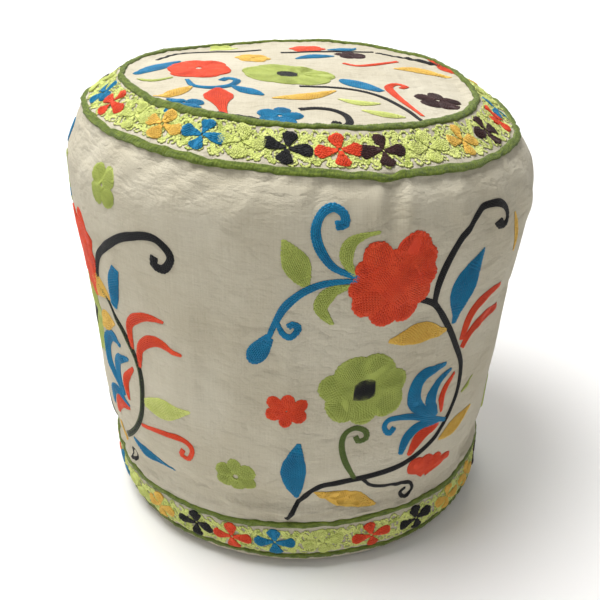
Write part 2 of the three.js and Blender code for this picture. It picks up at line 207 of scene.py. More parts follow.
def sample(grid, angle, s):
    """The grid's values between its points, smoothly."""
    turns, rises = grid.shape[:2]
    i = np.mod(angle, 2 * math.pi) / (2 * math.pi) * turns
    j = np.clip(s / OUTLINE_LENGTH, 0, 1) * (rises - 1)
    i0, j0 = np.floor(i).astype(int), np.minimum(np.floor(j).astype(int), rises - 2)
    wi, wj = cubic_weights(i - i0), cubic_weights(j - j0)
    total = 0
    for a in range(4):
        for b in range(4):
            value = grid[(i0 + a - 1) % turns, np.clip(j0 + b - 1, 0, rises - 1)]
            total = total + (wi[a] * wj[b])[..., None] * value
    return total


def grid_places(turns, rises):
    angle = np.arange(turns) * 2 * math.pi / turns
    s = np.linspace(0, OUTLINE_LENGTH, rises)
    return np.meshgrid(angle, s, indexing="ij")


# Cloth simulation: the cover is a little larger than its filling, so that it buckles.
CLOTH_TURNS = 220
CLOTH_RISES = 130
CLOTH_FRAMES = 18
CLOTH_SPARE = 0.012
CLOTH_PRESSURE = 1.2
CLOTH_LIMIT = 5.0  # no point moves further than this


def near_seam(s, reach):
    seams = (WALL_LENGTH, TOP_INNER_CORD, BASE_UPPER_CORD, BASE_LOWER_CORD)
    return np.max([np.clip(1 - np.abs(s - seam) / reach, 0, 1) for seam in seams], axis=0)


def simulated_shift():
    """How far the cloth moves from the slumped drum, on the cloth's grid."""
    start = slump(turned_grid(CLOTH_TURNS, CLOTH_RISES))
    flat = start[:, :-1].reshape(-1, 3)
    rows = CLOTH_RISES - 1
    i, j = np.meshgrid(np.arange(CLOTH_TURNS), np.arange(rows - 1), indexing="ij")
    a, b = i * rows + j, (i + 1) % CLOTH_TURNS * rows + j
    quads = np.stack([a, b, b + 1, a + 1], axis=-1).reshape(-1, 4).tolist()
    centre = len(flat)
    ends = np.arange(CLOTH_TURNS)
    caps = [[k * rows + rows - 1, (k + 1) % CLOTH_TURNS * rows + rows - 1, centre] for k in ends]
    floor = [[(k + 1) % CLOTH_TURNS * rows, k * rows, centre + 1] for k in ends]
    middle = start[:, -1].mean(axis=0)
    points = np.vstack([flat, middle, [0, 0, 0]])
    crumple = RANDOM.normal(0, 0.12, points.shape)
    mesh = bpy.data.meshes.new("cloth_try")
    mesh.from_pydata(((points + crumple) * MM).tolist(), [], quads + caps + floor)
    cloth = bpy.data.objects.new("cloth_try", mesh)
    bpy.context.scene.collection.objects.link(cloth)
    _, s = grid_places(CLOTH_TURNS, CLOTH_RISES)
    hold = near_seam(s, 7.0)[:, :-1]
    hold = np.maximum(hold, s[:, :-1] < 12).ravel()
    group = cloth.vertex_groups.new(name="held")
    for k, weight in enumerate(hold):
        if weight > 0:
            group.add([k], float(weight), "REPLACE")
    group.add([centre + 1], 1.0, "REPLACE")
    settings = cloth.modifiers.new("cloth", "CLOTH").settings
    settings.quality = 5
    settings.mass = 0.25
    settings.tension_stiffness = 30
    settings.compression_stiffness = 30
    settings.shear_stiffness = 12
    settings.bending_stiffness = 0.25
    settings.shrink_min = -CLOTH_SPARE
    settings.use_pressure = True
    settings.uniform_pressure_force = CLOTH_PRESSURE
    settings.vertex_group_mass = "held"
    settings.pin_stiffness = 3
    settings.effector_weights.gravity = 0.3
    scene = bpy.context.scene
    cloth.modifiers["cloth"].point_cache.frame_end = CLOTH_FRAMES
    for step in range(1, CLOTH_FRAMES + 1):
        scene.frame_set(step)
    done = cloth.evaluated_get(bpy.context.evaluated_depsgraph_get())
    moved = np.zeros(len(points) * 3)
    done.data.vertices.foreach_get("co", moved)
    shift = moved.reshape(-1, 3) / MM - points
    bpy.data.objects.remove(cloth)
    scene.frame_set(1)
    length = np.linalg.norm(shift, axis=1, keepdims=True)
    shift *= np.minimum(1, CLOTH_LIMIT / np.maximum(length, 1e-9))
    grid = np.zeros_like(start)
    grid[:, :-1] = shift[:-2].reshape(CLOTH_TURNS, rows, 3)
    grid[:, -1] = shift[-2]
    return grid


def fold(places, at, towards, width, depth, sharp=1.6):
    """A fold that runs from one point of the wall to another, each (distance round, height)."""
    u, s = places
    u0, s0 = at[0], height_to_s(at[1])
    u1, s1 = towards[0], height_to_s(towards[1])
    du, ds = u1 - u0, s1 - s0
    length = math.hypot(du, ds)
    girth = 2 * math.pi * GIRTH_RADIUS
    off = np.mod(u - u0 + girth / 2, girth) - girth / 2
    along = (off * du + (s - s0) * ds) / length
    across = (-off * ds + (s - s0) * du) / length
    t = np.clip(along / length, 0, 1)
    waist = np.sin(math.pi * (0.08 + 0.92 * t)) ** 0.7
    beyond = np.maximum(0, np.maximum(-along, along - length))
    spread = width * (0.35 + 0.65 * waist)
    shape = np.exp(-np.abs(across / spread) ** sharp) * np.exp(-((beyond / width) ** 2))
    return depth * waist * shape


# Folds of the wall: (from, to, width, depth), places as (distance round, height). Depth above 0
# stands out.
FOLDS = (
    # the tuck under the pucker in the rim, to the right of the front
    ((75, 402), (72, 350), 9, -3.2),
    ((64, 400), (60, 352), 6, 1.8),
    ((87, 400), (83, 345), 7, 2.4),
    ((110, 402), (132, 352), 8, -2.2),
    ((125, 400), (150, 345), 7, 1.8),
    ((150, 398), (186, 338), 9, -2.4),
    ((168, 398), (205, 330), 8, 2.0),
    ((205, 392), (246, 320), 10, -2.4),
    ((236, 390), (276, 330), 9, 2.0),
    # ripples on the left shoulder
    ((-40, 404), (-96, 372), 6, -1.5),
    ((-78, 404), (-128, 366), 6, -1.5),
    ((-112, 403), (-160, 364), 7, -1.8),
    ((-150, 402), (-196, 356), 7, -1.7),
    ((-196, 400), (-240, 350), 8, -1.8),
    ((-30, 396), (-60, 356), 7, 1.2),
    ((20, 404), (6, 372), 6, -1.3),
    ((44, 403), (38, 368), 5, -1.2),
    # creases left by packing, round the middle
    ((-84, 269), (28, 283), 3.2, -1.5),
    ((-60, 262), (20, 273), 5, 1.0),
    ((84, 279), (130, 287), 3.0, -1.4),
    ((-104, 243), (-6, 184), 3.4, -1.3),
    ((-40, 232), (26, 248), 3.4, -1.2),
    ((30, 205), (96, 262), 4, 0.9),
    ((-150, 214), (-60, 234), 3.4, -1.1),
    ((-30, 150), (44, 168), 4, -1.0),
    ((98, 190), (150, 176), 4, -1.0),
    ((-132, 158), (-74, 132), 4, -1.0),
    ((-60, 96), (-12, 78), 5, -1.0),
    ((90, 100), (160, 78), 5, -1.1),
    ((-240, 300), (-150, 316), 5, -1.3),
    ((-300, 210), (-210, 232), 5, -1.3),
    ((200, 250), (285, 262), 6, -1.5),
    ((190, 180), (262, 150), 6, -1.4),
    # dents of the lower wall
    ((-250, 60), (-200, 130), 12, -1.8),
    ((210, 60), (245, 120), 12, -2.0),
)
FOLD_GAIN = 1.35
HIDDEN_FOLDS = 46  # folds of the back, which follow no picture


def folded(angle, s):
    """How far the wall's folds stand out, on a grid."""
    places = (angle * GIRTH_RADIUS, s)
    total = np.zeros_like(s)
    for at, towards, width, depth in FOLDS:
        total += fold(places, at, towards, width, FOLD_GAIN * depth)
    for _ in range(HIDDEN_FOLDS):
        u = RANDOM.uniform(310, 1040)
        high = RANDOM.random() < 0.55
        z = RANDOM.uniform(372, 400) if high else RANDOM.uniform(70, 340)
        run = RANDOM.uniform(30, 95)
        tilt = RANDOM.normal(-1.1, 0.45) if high else RANDOM.normal(0.0, 0.5)
        tilt = tilt if RANDOM.random() < 0.5 or not high else math.pi - tilt
        end = (u + run * math.cos(tilt), np.clip(z + run * math.sin(tilt), 30, 402))
        total += fold(places, (u, z), end, RANDOM.uniform(3.5, 9), RANDOM.normal(0, 1.5))
    back = np.mod(angle, 2 * math.pi) - math.pi
    across = back * GIRTH_RADIUS
    total -= 2.0 * np.exp(-((across / 3.0) ** 2)) * (s < WALL_LENGTH)
    total += 0.7 * np.exp(-(((np.abs(across) - 9) / 4) ** 2)) * (s < WALL_LENGTH)
    return total * smooth_step(s / 40)


def waves(angle, s):
    """Soft unevenness of the filling, and gathers beside the seams."""
    total = np.zeros_like(s)
    for reach, size, count in ((1.0, 0.9, 9), (2.2, 0.45, 14), (4.5, 0.22, 22)):
        for _ in range(count):
            turns = int(RANDOM.integers(2, 9) * reach)
            rise = RANDOM.normal(0, 0.016 * reach)
            total += size / math.sqrt(count) * np.sin(
                turns * angle + rise * s + RANDOM.uniform(0, 6.3)
            )
    gathers = np.sin(61 * angle + 1.7 * np.sin(7 * angle)) * np.exp(
        -(((s - WALL_LENGTH + 14) / 9) ** 2)
    )
    gathers += 0.8 * np.sin(83 * angle + 2.2 * np.sin(5 * angle)) * np.exp(
        -(((s - TOP_INNER_CORD - 12) / 8) ** 2)
    )
    gathers += 0.7 * np.sin(73 * angle + 1.5 * np.sin(9 * angle)) * np.exp(
        -(((s - BASE_UPPER_CORD - 12) / 8) ** 2)
    )
    calm = smooth_step(s / 50) * (1 - 0.8 * smooth_step((s - TOP_INNER_CORD) / 60))
    seams = 1.1 * near_seam(s, 6.0)
    return total * calm + 0.45 * gathers - seams * smooth_step(s / 30)


def make_skin():
    angle, s = grid_places(TURN_STEPS, RISE_STEPS)
    points = slump(turned_grid(TURN_STEPS, RISE_STEPS))
    points = points + sample(simulated_shift(), angle, s)
    normals = grid_normals(points)
    return points + normals * (folded(angle, s) + waves(angle, s))[..., None]


skin = make_skin()
skin_normals = grid_normals(skin)


def on_skin(angle, s, lift=0.0):
    """Points that stand a height above the skin."""
    lift = np.broadcast_to(lift, np.shape(s))
    return sample(skin, angle, s) + sample(skin_normals, angle, s) * lift[..., None]


# ---- Meshes ------------------------------------------------------------------------------------


def unwrapped(pairs, faces, period):
    """The UV pairs of each corner. A face across the closing line reads past the end, not back."""
    parts = []
    for group in faces:
        corner = pairs[np.asarray(group)]
        if period:
            u = corner[..., 0]
            ends = u.max(axis=1, keepdims=True) - u.min(axis=1, keepdims=True) > period / 2
            corner = np.stack([u + period * (ends & (u < period / 2)), corner[..., 1]], axis=-1)
        parts.append(corner.reshape(-1, 2))
    return np.vstack(parts)


def make_mesh(name, points, faces, material, uvs=None, body="pouf_body", replaces=(),
              periods=None):
    """A piece from points in millimetres. faces is one array or several, each with faces of one
    size, and uvs maps a layer's name to one pair per point. periods gives the distance round at
    which a layer's first number starts again."""
    mesh = bpy.data.meshes.new(name)
    points = np.asarray(points, float).reshape(-1, 3)
    faces = faces if isinstance(faces, list) else [faces]
    corners = np.concatenate([np.asarray(f).ravel() for f in faces])
    sizes = np.concatenate([np.full(len(f), np.shape(f)[1]) for f in faces])
    starts = np.concatenate([[0], np.cumsum(sizes)[:-1]])
    mesh.vertices.add(len(points))
    mesh.vertices.foreach_set("co", (points * MM).astype(np.float32).ravel())
    mesh.loops.add(len(corners))
    mesh.loops.foreach_set("vertex_index", corners.astype(np.int32))
    mesh.polygons.add(len(sizes))
    mesh.polygons.foreach_set("loop_start", starts.astype(np.int32))
    mesh.polygons.foreach_set("use_smooth", np.ones(len(sizes), bool))
    for layer, pairs in (uvs or {}).items():
        data = mesh.uv_layers.new(name=layer).data
        data.foreach_set(
            "uv",
            unwrapped(np.asarray(pairs, float), faces, (periods or {}).get(layer))
            .astype(np.float32)
            .ravel(),
        )
    mesh.update()
    mesh.materials.append(material)
    made = bpy.data.objects.new(name, mesh)
    bpy.context.scene.collection.objects.link(made)
    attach(made, body)
    if replaces:
        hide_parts(*replaces)
    return made


def grid_faces(columns, rows, wrapped=False, start=0, flip=False):
    """Quads of a grid whose points run row by row inside each column."""
    last = columns if wrapped else columns - 1
    i, j = np.meshgrid(np.arange(last), np.arange(rows - 1), indexing="ij")
    a = i * rows + j
    b = (i + 1) % columns * rows + j
    quads = np.stack([a, b, b + 1, a + 1], axis=-1).reshape(-1, 4) + start
    return quads[:, ::-1] if flip else quads


def shell(outer, inner, tips=None):
    """Points and faces of a wrapped sheet between two grids. Its last edge is closed by a rim, or
    by two fans to tips, the outer and inner points in the middle."""
    columns, rows = outer.shape[:2]
    count = columns * rows
    k = np.arange(columns)
    n = (k + 1) % columns
    k, n = k * rows, n * rows
    first = np.stack([k, n, count + n, count + k], axis=-1)[:, ::-1]
    quads = [grid_faces(columns, rows, True), grid_faces(columns, rows, True, count, True), first]
    points = [outer.reshape(-1, 3), inner.reshape(-1, 3)]
    k, n = k + rows - 1, n + rows - 1
    if tips is None:
        quads.append(np.stack([k, n, count + n, count + k], axis=-1))
        return np.vstack(points), [np.vstack(quads)]
    fans = [
        np.stack([k, n, np.full(columns, 2 * count)], axis=-1),
        np.stack([count + n, count + k, np.full(columns, 2 * count + 1)], axis=-1),
    ]
    return np.vstack([*points, *tips]), [np.vstack(quads), np.vstack(fans)]


def slab(lower, upper):
    """Points and faces of a sheet between two open grids, closed along its four edges."""
    columns, rows = lower.shape[:2]
    count = columns * rows
    faces = [
        grid_faces(columns, rows, flip=True),
        grid_faces(columns, rows, start=count),
    ]
    i, j = np.arange(columns), np.arange(rows)
    loop = np.concatenate(
        [
            i * rows,
            (columns - 1) * rows + j[1:],
            i[::-1][1:] * rows + rows - 1,
            j[::-1][1:-1],
        ]
    )
    ahead = np.roll(loop, -1)
    faces.append(np.stack([loop, ahead, ahead + count, loop + count], axis=-1))
    return np.vstack([lower.reshape(-1, 3), upper.reshape(-1, 3)]), [np.vstack(faces)]


# ---- Materials ---------------------------------------------------------------------------------


def srgb(red, green, blue):
    """Linear colour of an sRGB one, each part from 0 to 255."""
    parts = [c / 255 for c in (red, green, blue)]
    linear = [c / 12.92 if c <= 0.04045 else ((c + 0.055) / 1.055) ** 2.4 for c in parts]
    return (*linear, 1.0)


class Finish:
    """A material under construction: short calls that add and link nodes."""

    def __init__(self, name, roughness, sheen=0.0, metallic=0.0, specular=0.3):
        self.material = bpy.data.materials.new(name)
        self.material.use_nodes = True
        self.tree = self.material.node_tree
        self.shader = self.tree.nodes["Principled BSDF"]
        self.shader.inputs["Roughness"].default_value = roughness
        self.shader.inputs["Metallic"].default_value = metallic
        self.shader.inputs["Specular IOR Level"].default_value = specular
        self.shader.inputs["Sheen Weight"].default_value = sheen
        self.shader.inputs["Sheen Roughness"].default_value = 0.45

    def add(self, kind, operation=None, **inputs):
        node = self.tree.nodes.new(kind)
        if operation:
            node.operation = operation
        for name, value in inputs.items():
            key = int(name[1:]) if name[0] == "_" else name.replace("_", " ")
            self.put(value, node.inputs[key])
        return node

    def put(self, value, socket):
        if isinstance(value, bpy.types.NodeSocket):
            self.tree.links.new(value, socket)
        else:
            socket.default_value = value

    def math(self, operation, a, b=0.0):
        return self.add("ShaderNodeMath", operation, _0=a, _1=b).outputs[0]

    def uv(self, layer):
        node = self.tree.nodes.new("ShaderNodeUVMap")
        node.uv_map = layer
        return node.outputs[0]

    def own_place(self):
        """The piece's own coordinates, in metres."""
        return self.tree.nodes.new("ShaderNodeTexCoord").outputs["Object"]

    def parts(self, vector):
        return self.add("ShaderNodeSeparateXYZ", _0=vector).outputs

    def stretched(self, vector, scale):
        node = self.add("ShaderNodeVectorMath", "MULTIPLY", _0=vector, _1=scale)
        return node.outputs[0]

    def noise(self, vector, scale, detail=3.0, roughness=0.55):
        return self.add(
            "ShaderNodeTexNoise", Vector=vector, Scale=scale, Detail=detail, Roughness=roughness
        ).outputs[0]

    def ranged(self, value, low, high, to_low, to_high):
        node = self.add("ShaderNodeMapRange", _0=value, _1=low, _2=high, _3=to_low, _4=to_high)
        return node.outputs[0]

    def mixed(self, share, a, b, blend="MIX"):
        node = self.tree.nodes.new("ShaderNodeMix")
        node.data_type = "RGBA"
        node.blend_type = blend
        self.put(share, node.inputs[0])
        self.put(a, node.inputs[6])
        self.put(b, node.inputs[7])
        return node.outputs[2]

    def tinted(self, colour, value):
        """A colour made lighter or darker by a value around 1."""
        node = self.add("ShaderNodeVectorMath", "MULTIPLY", _0=colour)
        self.tree.links.new(value, node.inputs[1])
        return node.outputs[0]

    def bump(self, height, distance, strength=1.0, after=None):
        node = self.add("ShaderNodeBump", Height=height, Distance=distance, Strength=strength)
        if after is not None:
            self.tree.links.new(after, node.inputs["Normal"])
        return node.outputs[0]

    def done(self, colour, normal=None, roughness=None):
        self.put(colour, self.shader.inputs["Base Color"])
        if normal is not None:
            self.put(normal, self.shader.inputs["Normal"])
        if roughness is not None:
            self.put(roughness, self.shader.inputs["Roughness"])
        return self.material


def woven(name, light, dark, pitch, streak=0.5, bump=0.12, sheen=0.25, creases=0.0):
    """A plain weave. Its UV layer "cloth" is in millimetres."""
    f = Finish(name, 0.9, sheen, specular=0.15)
    place = f.uv("cloth")
    x, y, _ = f.parts(place)
    turn = math.pi / pitch
    warp = f.math("ABSOLUTE", f.math("SINE", f.math("MULTIPLY", x, turn)))
    weft = f.math("ABSOLUTE", f.math("SINE", f.math("MULTIPLY", y, turn)))
    over = f.math(
        "MULTIPLY",
        f.math("SINE", f.math("MULTIPLY", x, turn)),
        f.math("SINE", f.math("MULTIPLY", y, turn)),
    )
    over = f.ranged(over, -0.25, 0.25, 0.0, 1.0)
    weave = f.add("ShaderNodeMix", Factor=over, _2=warp, _3=weft).outputs[0]
    slub_across = f.noise(f.stretched(place, (0.03, 1.1, 1)), 1.0, 4)
    slub_up = f.noise(f.stretched(place, (1.1, 0.03, 1)), 1.0, 4)
    slubs = f.math("ADD", slub_across, slub_up)
    cloud = f.noise(f.stretched(place, (0.012, 0.012, 1)), 1.0, 4)
    fleck = f.noise(f.stretched(place, (0.5, 0.5, 1)), 1.0, 2)
    share = f.math(
        "ADD",
        f.math("MULTIPLY", f.ranged(slubs, 0.75, 1.25, -0.5, 0.5), streak),
        f.ranged(cloud, 0.35, 0.65, 0.2, 0.8),
    )
    colour = f.mixed(f.math("MINIMUM", f.math("MAXIMUM", share, 0.0), 1.0), dark, light)
    # Painted shade and highlight: the weave darkens the colour in the gaps between threads and
    # lightens it on their crowns; the fleck adds random tone.
    weave_shade_and_fleck = f.math(
        "ADD",
        f.ranged(weave, 0.0, 1.0, 0.9, 1.04),
        f.ranged(fleck, 0.3, 0.75, -0.03, 0.03),
    )
    colour = f.tinted(colour, weave_shade_and_fleck)
    height = f.math("ADD", weave, f.math("MULTIPLY", slubs, 0.9))
    normal = None
    if creases:
        bent = f.noise(f.stretched(place, (0.016, 0.026, 1)), 1.0, 3)
        ridges = f.noise(f.stretched(place, (0.02, 0.034, 1)), 1.0, 5, 0.6)
        ridges = f.math("ABSOLUTE", f.math("SUBTRACT", f.math("ADD", ridges, bent), 1.0))
        ridges = f.math("MINIMUM", f.math("MULTIPLY", ridges, 5.0), 1.0)
        normal = f.bump(ridges, creases * MM)
    return f.done(colour, f.bump(height, bump * MM, after=normal))


def thread(name, colour, deep, sheen=0.06, roughness=0.55):
    """Stitched thread. The UV layer "thread" is in millimetres along and across each stitch."""
    f = Finish(name, roughness, sheen, specular=0.3)
    along, across, _ = f.parts(f.uv("thread"))
    twist = f.math("SINE", f.math("MULTIPLY", f.math("ADD", along, across), 9.0))
    shade = f.add("ShaderNodeAttribute")
    shade.attribute_name = "shade"
    place = f.uv("cloth")
    cloud = f.noise(f.stretched(place, (0.06, 0.06, 1)), 1.0, 3)
    value = f.math("ADD", shade.outputs["Fac"], f.ranged(cloud, 0.3, 0.7, -0.25, 0.25))
    mixed = f.mixed(f.math("MINIMUM", f.math("MAXIMUM", value, 0.0), 1.0), deep, colour)
    # Painted shade in the grooves of the twist and painted highlight on its ridges.
    mixed = f.tinted(mixed, f.ranged(twist, -1.0, 1.0, 0.88, 1.06))
    return f.done(mixed, f.bump(twist, 0.09 * MM))


CREAM = srgb(207, 200, 180)
CREAM_DEEP = srgb(188, 179, 156)
canvas = woven("cotton_canvas", CREAM, CREAM_DEEP, 0.9, sheen=0.08, creases=1.6)
calico = woven("calico", srgb(240, 235, 222), srgb(226, 218, 200), 0.6)
tape_cloth = woven("zip_tape_cloth", srgb(222, 214, 196), srgb(200, 190, 170), 0.5)

THREADS = {
    "black": ((26, 25, 27), (12, 12, 14)), "red": ((255, 92, 44), (234, 62, 24)),
    "blue": ((0, 146, 194), (0, 112, 160)), "sage": ((196, 208, 106), (168, 182, 84)),
    "lime": ((236, 242, 150), (216, 228, 118)), "gold": ((255, 216, 104), (240, 186, 72)),
    "brown": ((72, 32, 30), (46, 20, 20)), "forest": ((108, 130, 56), (80, 100, 38)),
    "cream": ((236, 228, 212), (216, 206, 186)),
}
threads = {
    name: thread("thread_" + name, srgb(*colour), srgb(*deep))
    for name, (colour, deep) in THREADS.items()
}

# ---- Panels of the cover -----------------------------------------------------------------------

PANEL_TURNS = 360


def skin_strip(low, high, rows, lift, turns=PANEL_TURNS):
    angle = (np.arange(turns) / turns + 0.5) * 2 * math.pi
    angle, s = np.meshgrid(angle, np.linspace(low, high, rows), indexing="ij")
    return on_skin(angle, s, lift), angle, s


BAKE_ROUND = 0.998  # share of the bake's width that one turn takes
WRAPPED = {"cloth": 2 * math.pi * GIRTH_RADIUS, "OFBake": BAKE_ROUND}


def cloth_uv(angle, s):
    return np.stack([(angle - math.pi) * GIRTH_RADIUS, s], axis=-1).reshape(-1, 2)


def bake_uv(angle, s, low, high, floor, ceiling):
    across = (angle - math.pi) / (2 * math.pi) * BAKE_ROUND
    up = floor + (ceiling - floor) * (s - low) / (high - low)
    return np.stack([across, up], axis=-1).reshape(-1, 2)


def panel(name, node, low, high, rows, lifts, material):
    """A wrapped cloth panel of the cover between two distances up the outline. One that reaches
    the middle of the top is closed there."""
    reaches_middle = high >= OUTLINE_LENGTH
    last = OUTLINE_LENGTH - 1.5 if reaches_middle else high
    outer, angle, s = skin_strip(low, last, rows, lifts[0])
    inner, _, _ = skin_strip(low, last, rows, lifts[1])
    tips = None
    if reaches_middle:
        tips = [on_skin(np.zeros(1), np.full(1, OUTLINE_LENGTH), lift) for lift in lifts]
    points, faces = shell(outer, inner, tips)
    if reaches_middle:
        cloth = points[:, :2]
        bake = 0.5 + cloth / (2.1 * RIM[0])
    else:
        cloth = np.vstack([cloth_uv(angle, s)] * 2)
        bake = np.vstack(
            [bake_uv(angle, s, low, high, 0.3, 1.0), bake_uv(angle, s, low, high, 0.0, 0.28)]
        )
    uvs = {"cloth": cloth, "OFBake": bake}
    wrapped = None if reaches_middle else WRAPPED
    return make_mesh(
        name, points, faces, material, uvs, replaces=[node], periods=wrapped
    )


cover = (0.0, -CLOTH)
side = panel("side_panel_cloth", "side_panel", GAP, WALL_LENGTH - GAP, 118, cover, canvas)
top = panel(
    "top_panel_cloth", "top_panel", WALL_LENGTH + GAP, OUTLINE_LENGTH, 74, cover, canvas
)

# ---- Base panels: flat on the floor, lifted along the zip ----------------------------------------

BASE_RADIUS = FOOT[0] - 2 * GAP
ZIP_REACH = 160.0  # ends of the tape
GROOVE_DEPTH = 9.0
GROOVE_HALF_FLOOR = 17.0
GROOVE_SIDE = 17.0
GROOVE_END = 21.0
ZIP_SLOT_HALF = 7.0


def base_lift(x, y):
    """How far the base is lifted over the zip, from 0 to 1."""

    def ease(t):
        return (1 + np.cos(math.pi * np.clip(t, 0, 1))) / 2

    across = (np.abs(y) - GROOVE_HALF_FLOOR) / GROOVE_SIDE
    along = (np.abs(x) - ZIP_REACH) / GROOVE_END
    return ease(across) * ease(along)


def on_base(x, y, lift=0.0):
    """Points of the base's underside; lift is measured downwards, out of the pouf."""
    soft = 0.5 + 0.25 * (np.sin(0.07 * x + 0.05 * y) + np.sin(0.11 * y - 0.04 * x + 1.3))
    z = (GROOVE_DEPTH - 1) * base_lift(x, y) + 0.9 * soft
    return np.stack([x, y, z - lift], axis=-1)


def base_grid(sign, radius, inner_edge, thickness, rise=0.0):
    """Two grids of half a round panel, from its straight edge at the zip to its round edge."""
    turn = np.radians(np.linspace(-88.8, 88.8, 150))
    x = radius * np.sin(turn)
    edge = GAP / 2 + (inner_edge - GAP / 2) * smooth_step((ZIP_REACH - np.abs(x)) / 3)
    outer = radius * np.cos(turn)
    edge = np.minimum(edge, outer - 1.0)
    share = np.linspace(0, 1, 56) ** 1.15
    y = sign * (edge[:, None] + (outer - edge)[:, None] * share)
    x = np.broadcast_to(x[:, None], y.shape)
    lower = on_base(x, y, -rise)
    upper = lower + np.array([0, 0, thickness])
    return (lower, upper) if sign > 0 else (lower[::-1], upper[::-1])


for where, sign in (("front", -1), ("back", 1)):
    lower, upper = base_grid(sign, BASE_RADIUS, ZIP_SLOT_HALF, CLOTH)
    points, faces = slab(lower, upper)
    below = np.arange(len(points)) < len(points) // 2
    bake = np.stack(
        [
            0.5 + points[:, 0] / (2.1 * BASE_RADIUS),
            np.where(below, 0.0, 0.5) + np.abs(points[:, 1]) / (2.2 * BASE_RADIUS),
        ],
        axis=-1,
    )
    uvs = {"cloth": points[:, :2], "OFBake": bake}
    half = make_mesh(
        f"base_panel_{where}_cloth",
        points,
        faces,
        canvas,
        uvs,
        replaces=[f"base_panel_{where}"],
    )

# ---- Embroidery ----------------------------------------------------------------------------------

ROW = 1.6  # width of one row of chain stitch
STITCH = 3.4  # length of one stitch
STITCH_HEIGHT = 0.55
SATIN_CROWN = 0.4  # how much a wide shape is raised in its middle

# Section of the underlay: shares of the half width, and heights.
UNDERLAY = np.array([(-1, -0.3), (1, -0.3), (1, 0.2), (0.5, 0.42), (-0.5, 0.42), (-1, 0.2)])

# One stitch, as shares of its length, width and height: a rim, a ridge, and a flat underside.
LINK = np.array(
    [
        (-0.5, 0, 0.1), (-0.3, -0.5, 0.1), (0.3, -0.46, 0.1), (0.5, 0, 0.1), (0.3, 0.46, 0.1),
        (-0.3, 0.5, 0.1), (-0.22, 0, 1.0), (0.24, 0, 0.92),
    ],
)
LINK_FACES = np.array(
    [
        (0, 1, 6), (1, 2, 6), (2, 7, 6), (2, 3, 7), (3, 4, 7), (4, 5, 6), (4, 6, 7), (5, 0, 6),
        (0, 5, 1), (1, 5, 4), (1, 4, 2), (2, 4, 3),
    ],
)


def spline(points, step=0.4):
    """A smooth line through points, with a point about every step."""
    p = np.array(points, float)
    p = np.vstack([2 * p[0] - p[1], p, 2 * p[-1] - p[-2]])
    parts = []
    for a, b, c, d in zip(p, p[1:], p[2:], p[3:]):
        t = np.linspace(0, 1, max(3, int(np.linalg.norm(c - b) / step)))[:-1, None]
        parts.append(
            0.5
            * (
                2 * b
                + (c - a) * t
                + (2 * a - 5 * b + 4 * c - d) * t**2
                + (3 * b - a - 3 * c + d) * t**3
            )
        )
    return np.vstack([*parts, p[-2:-1]])


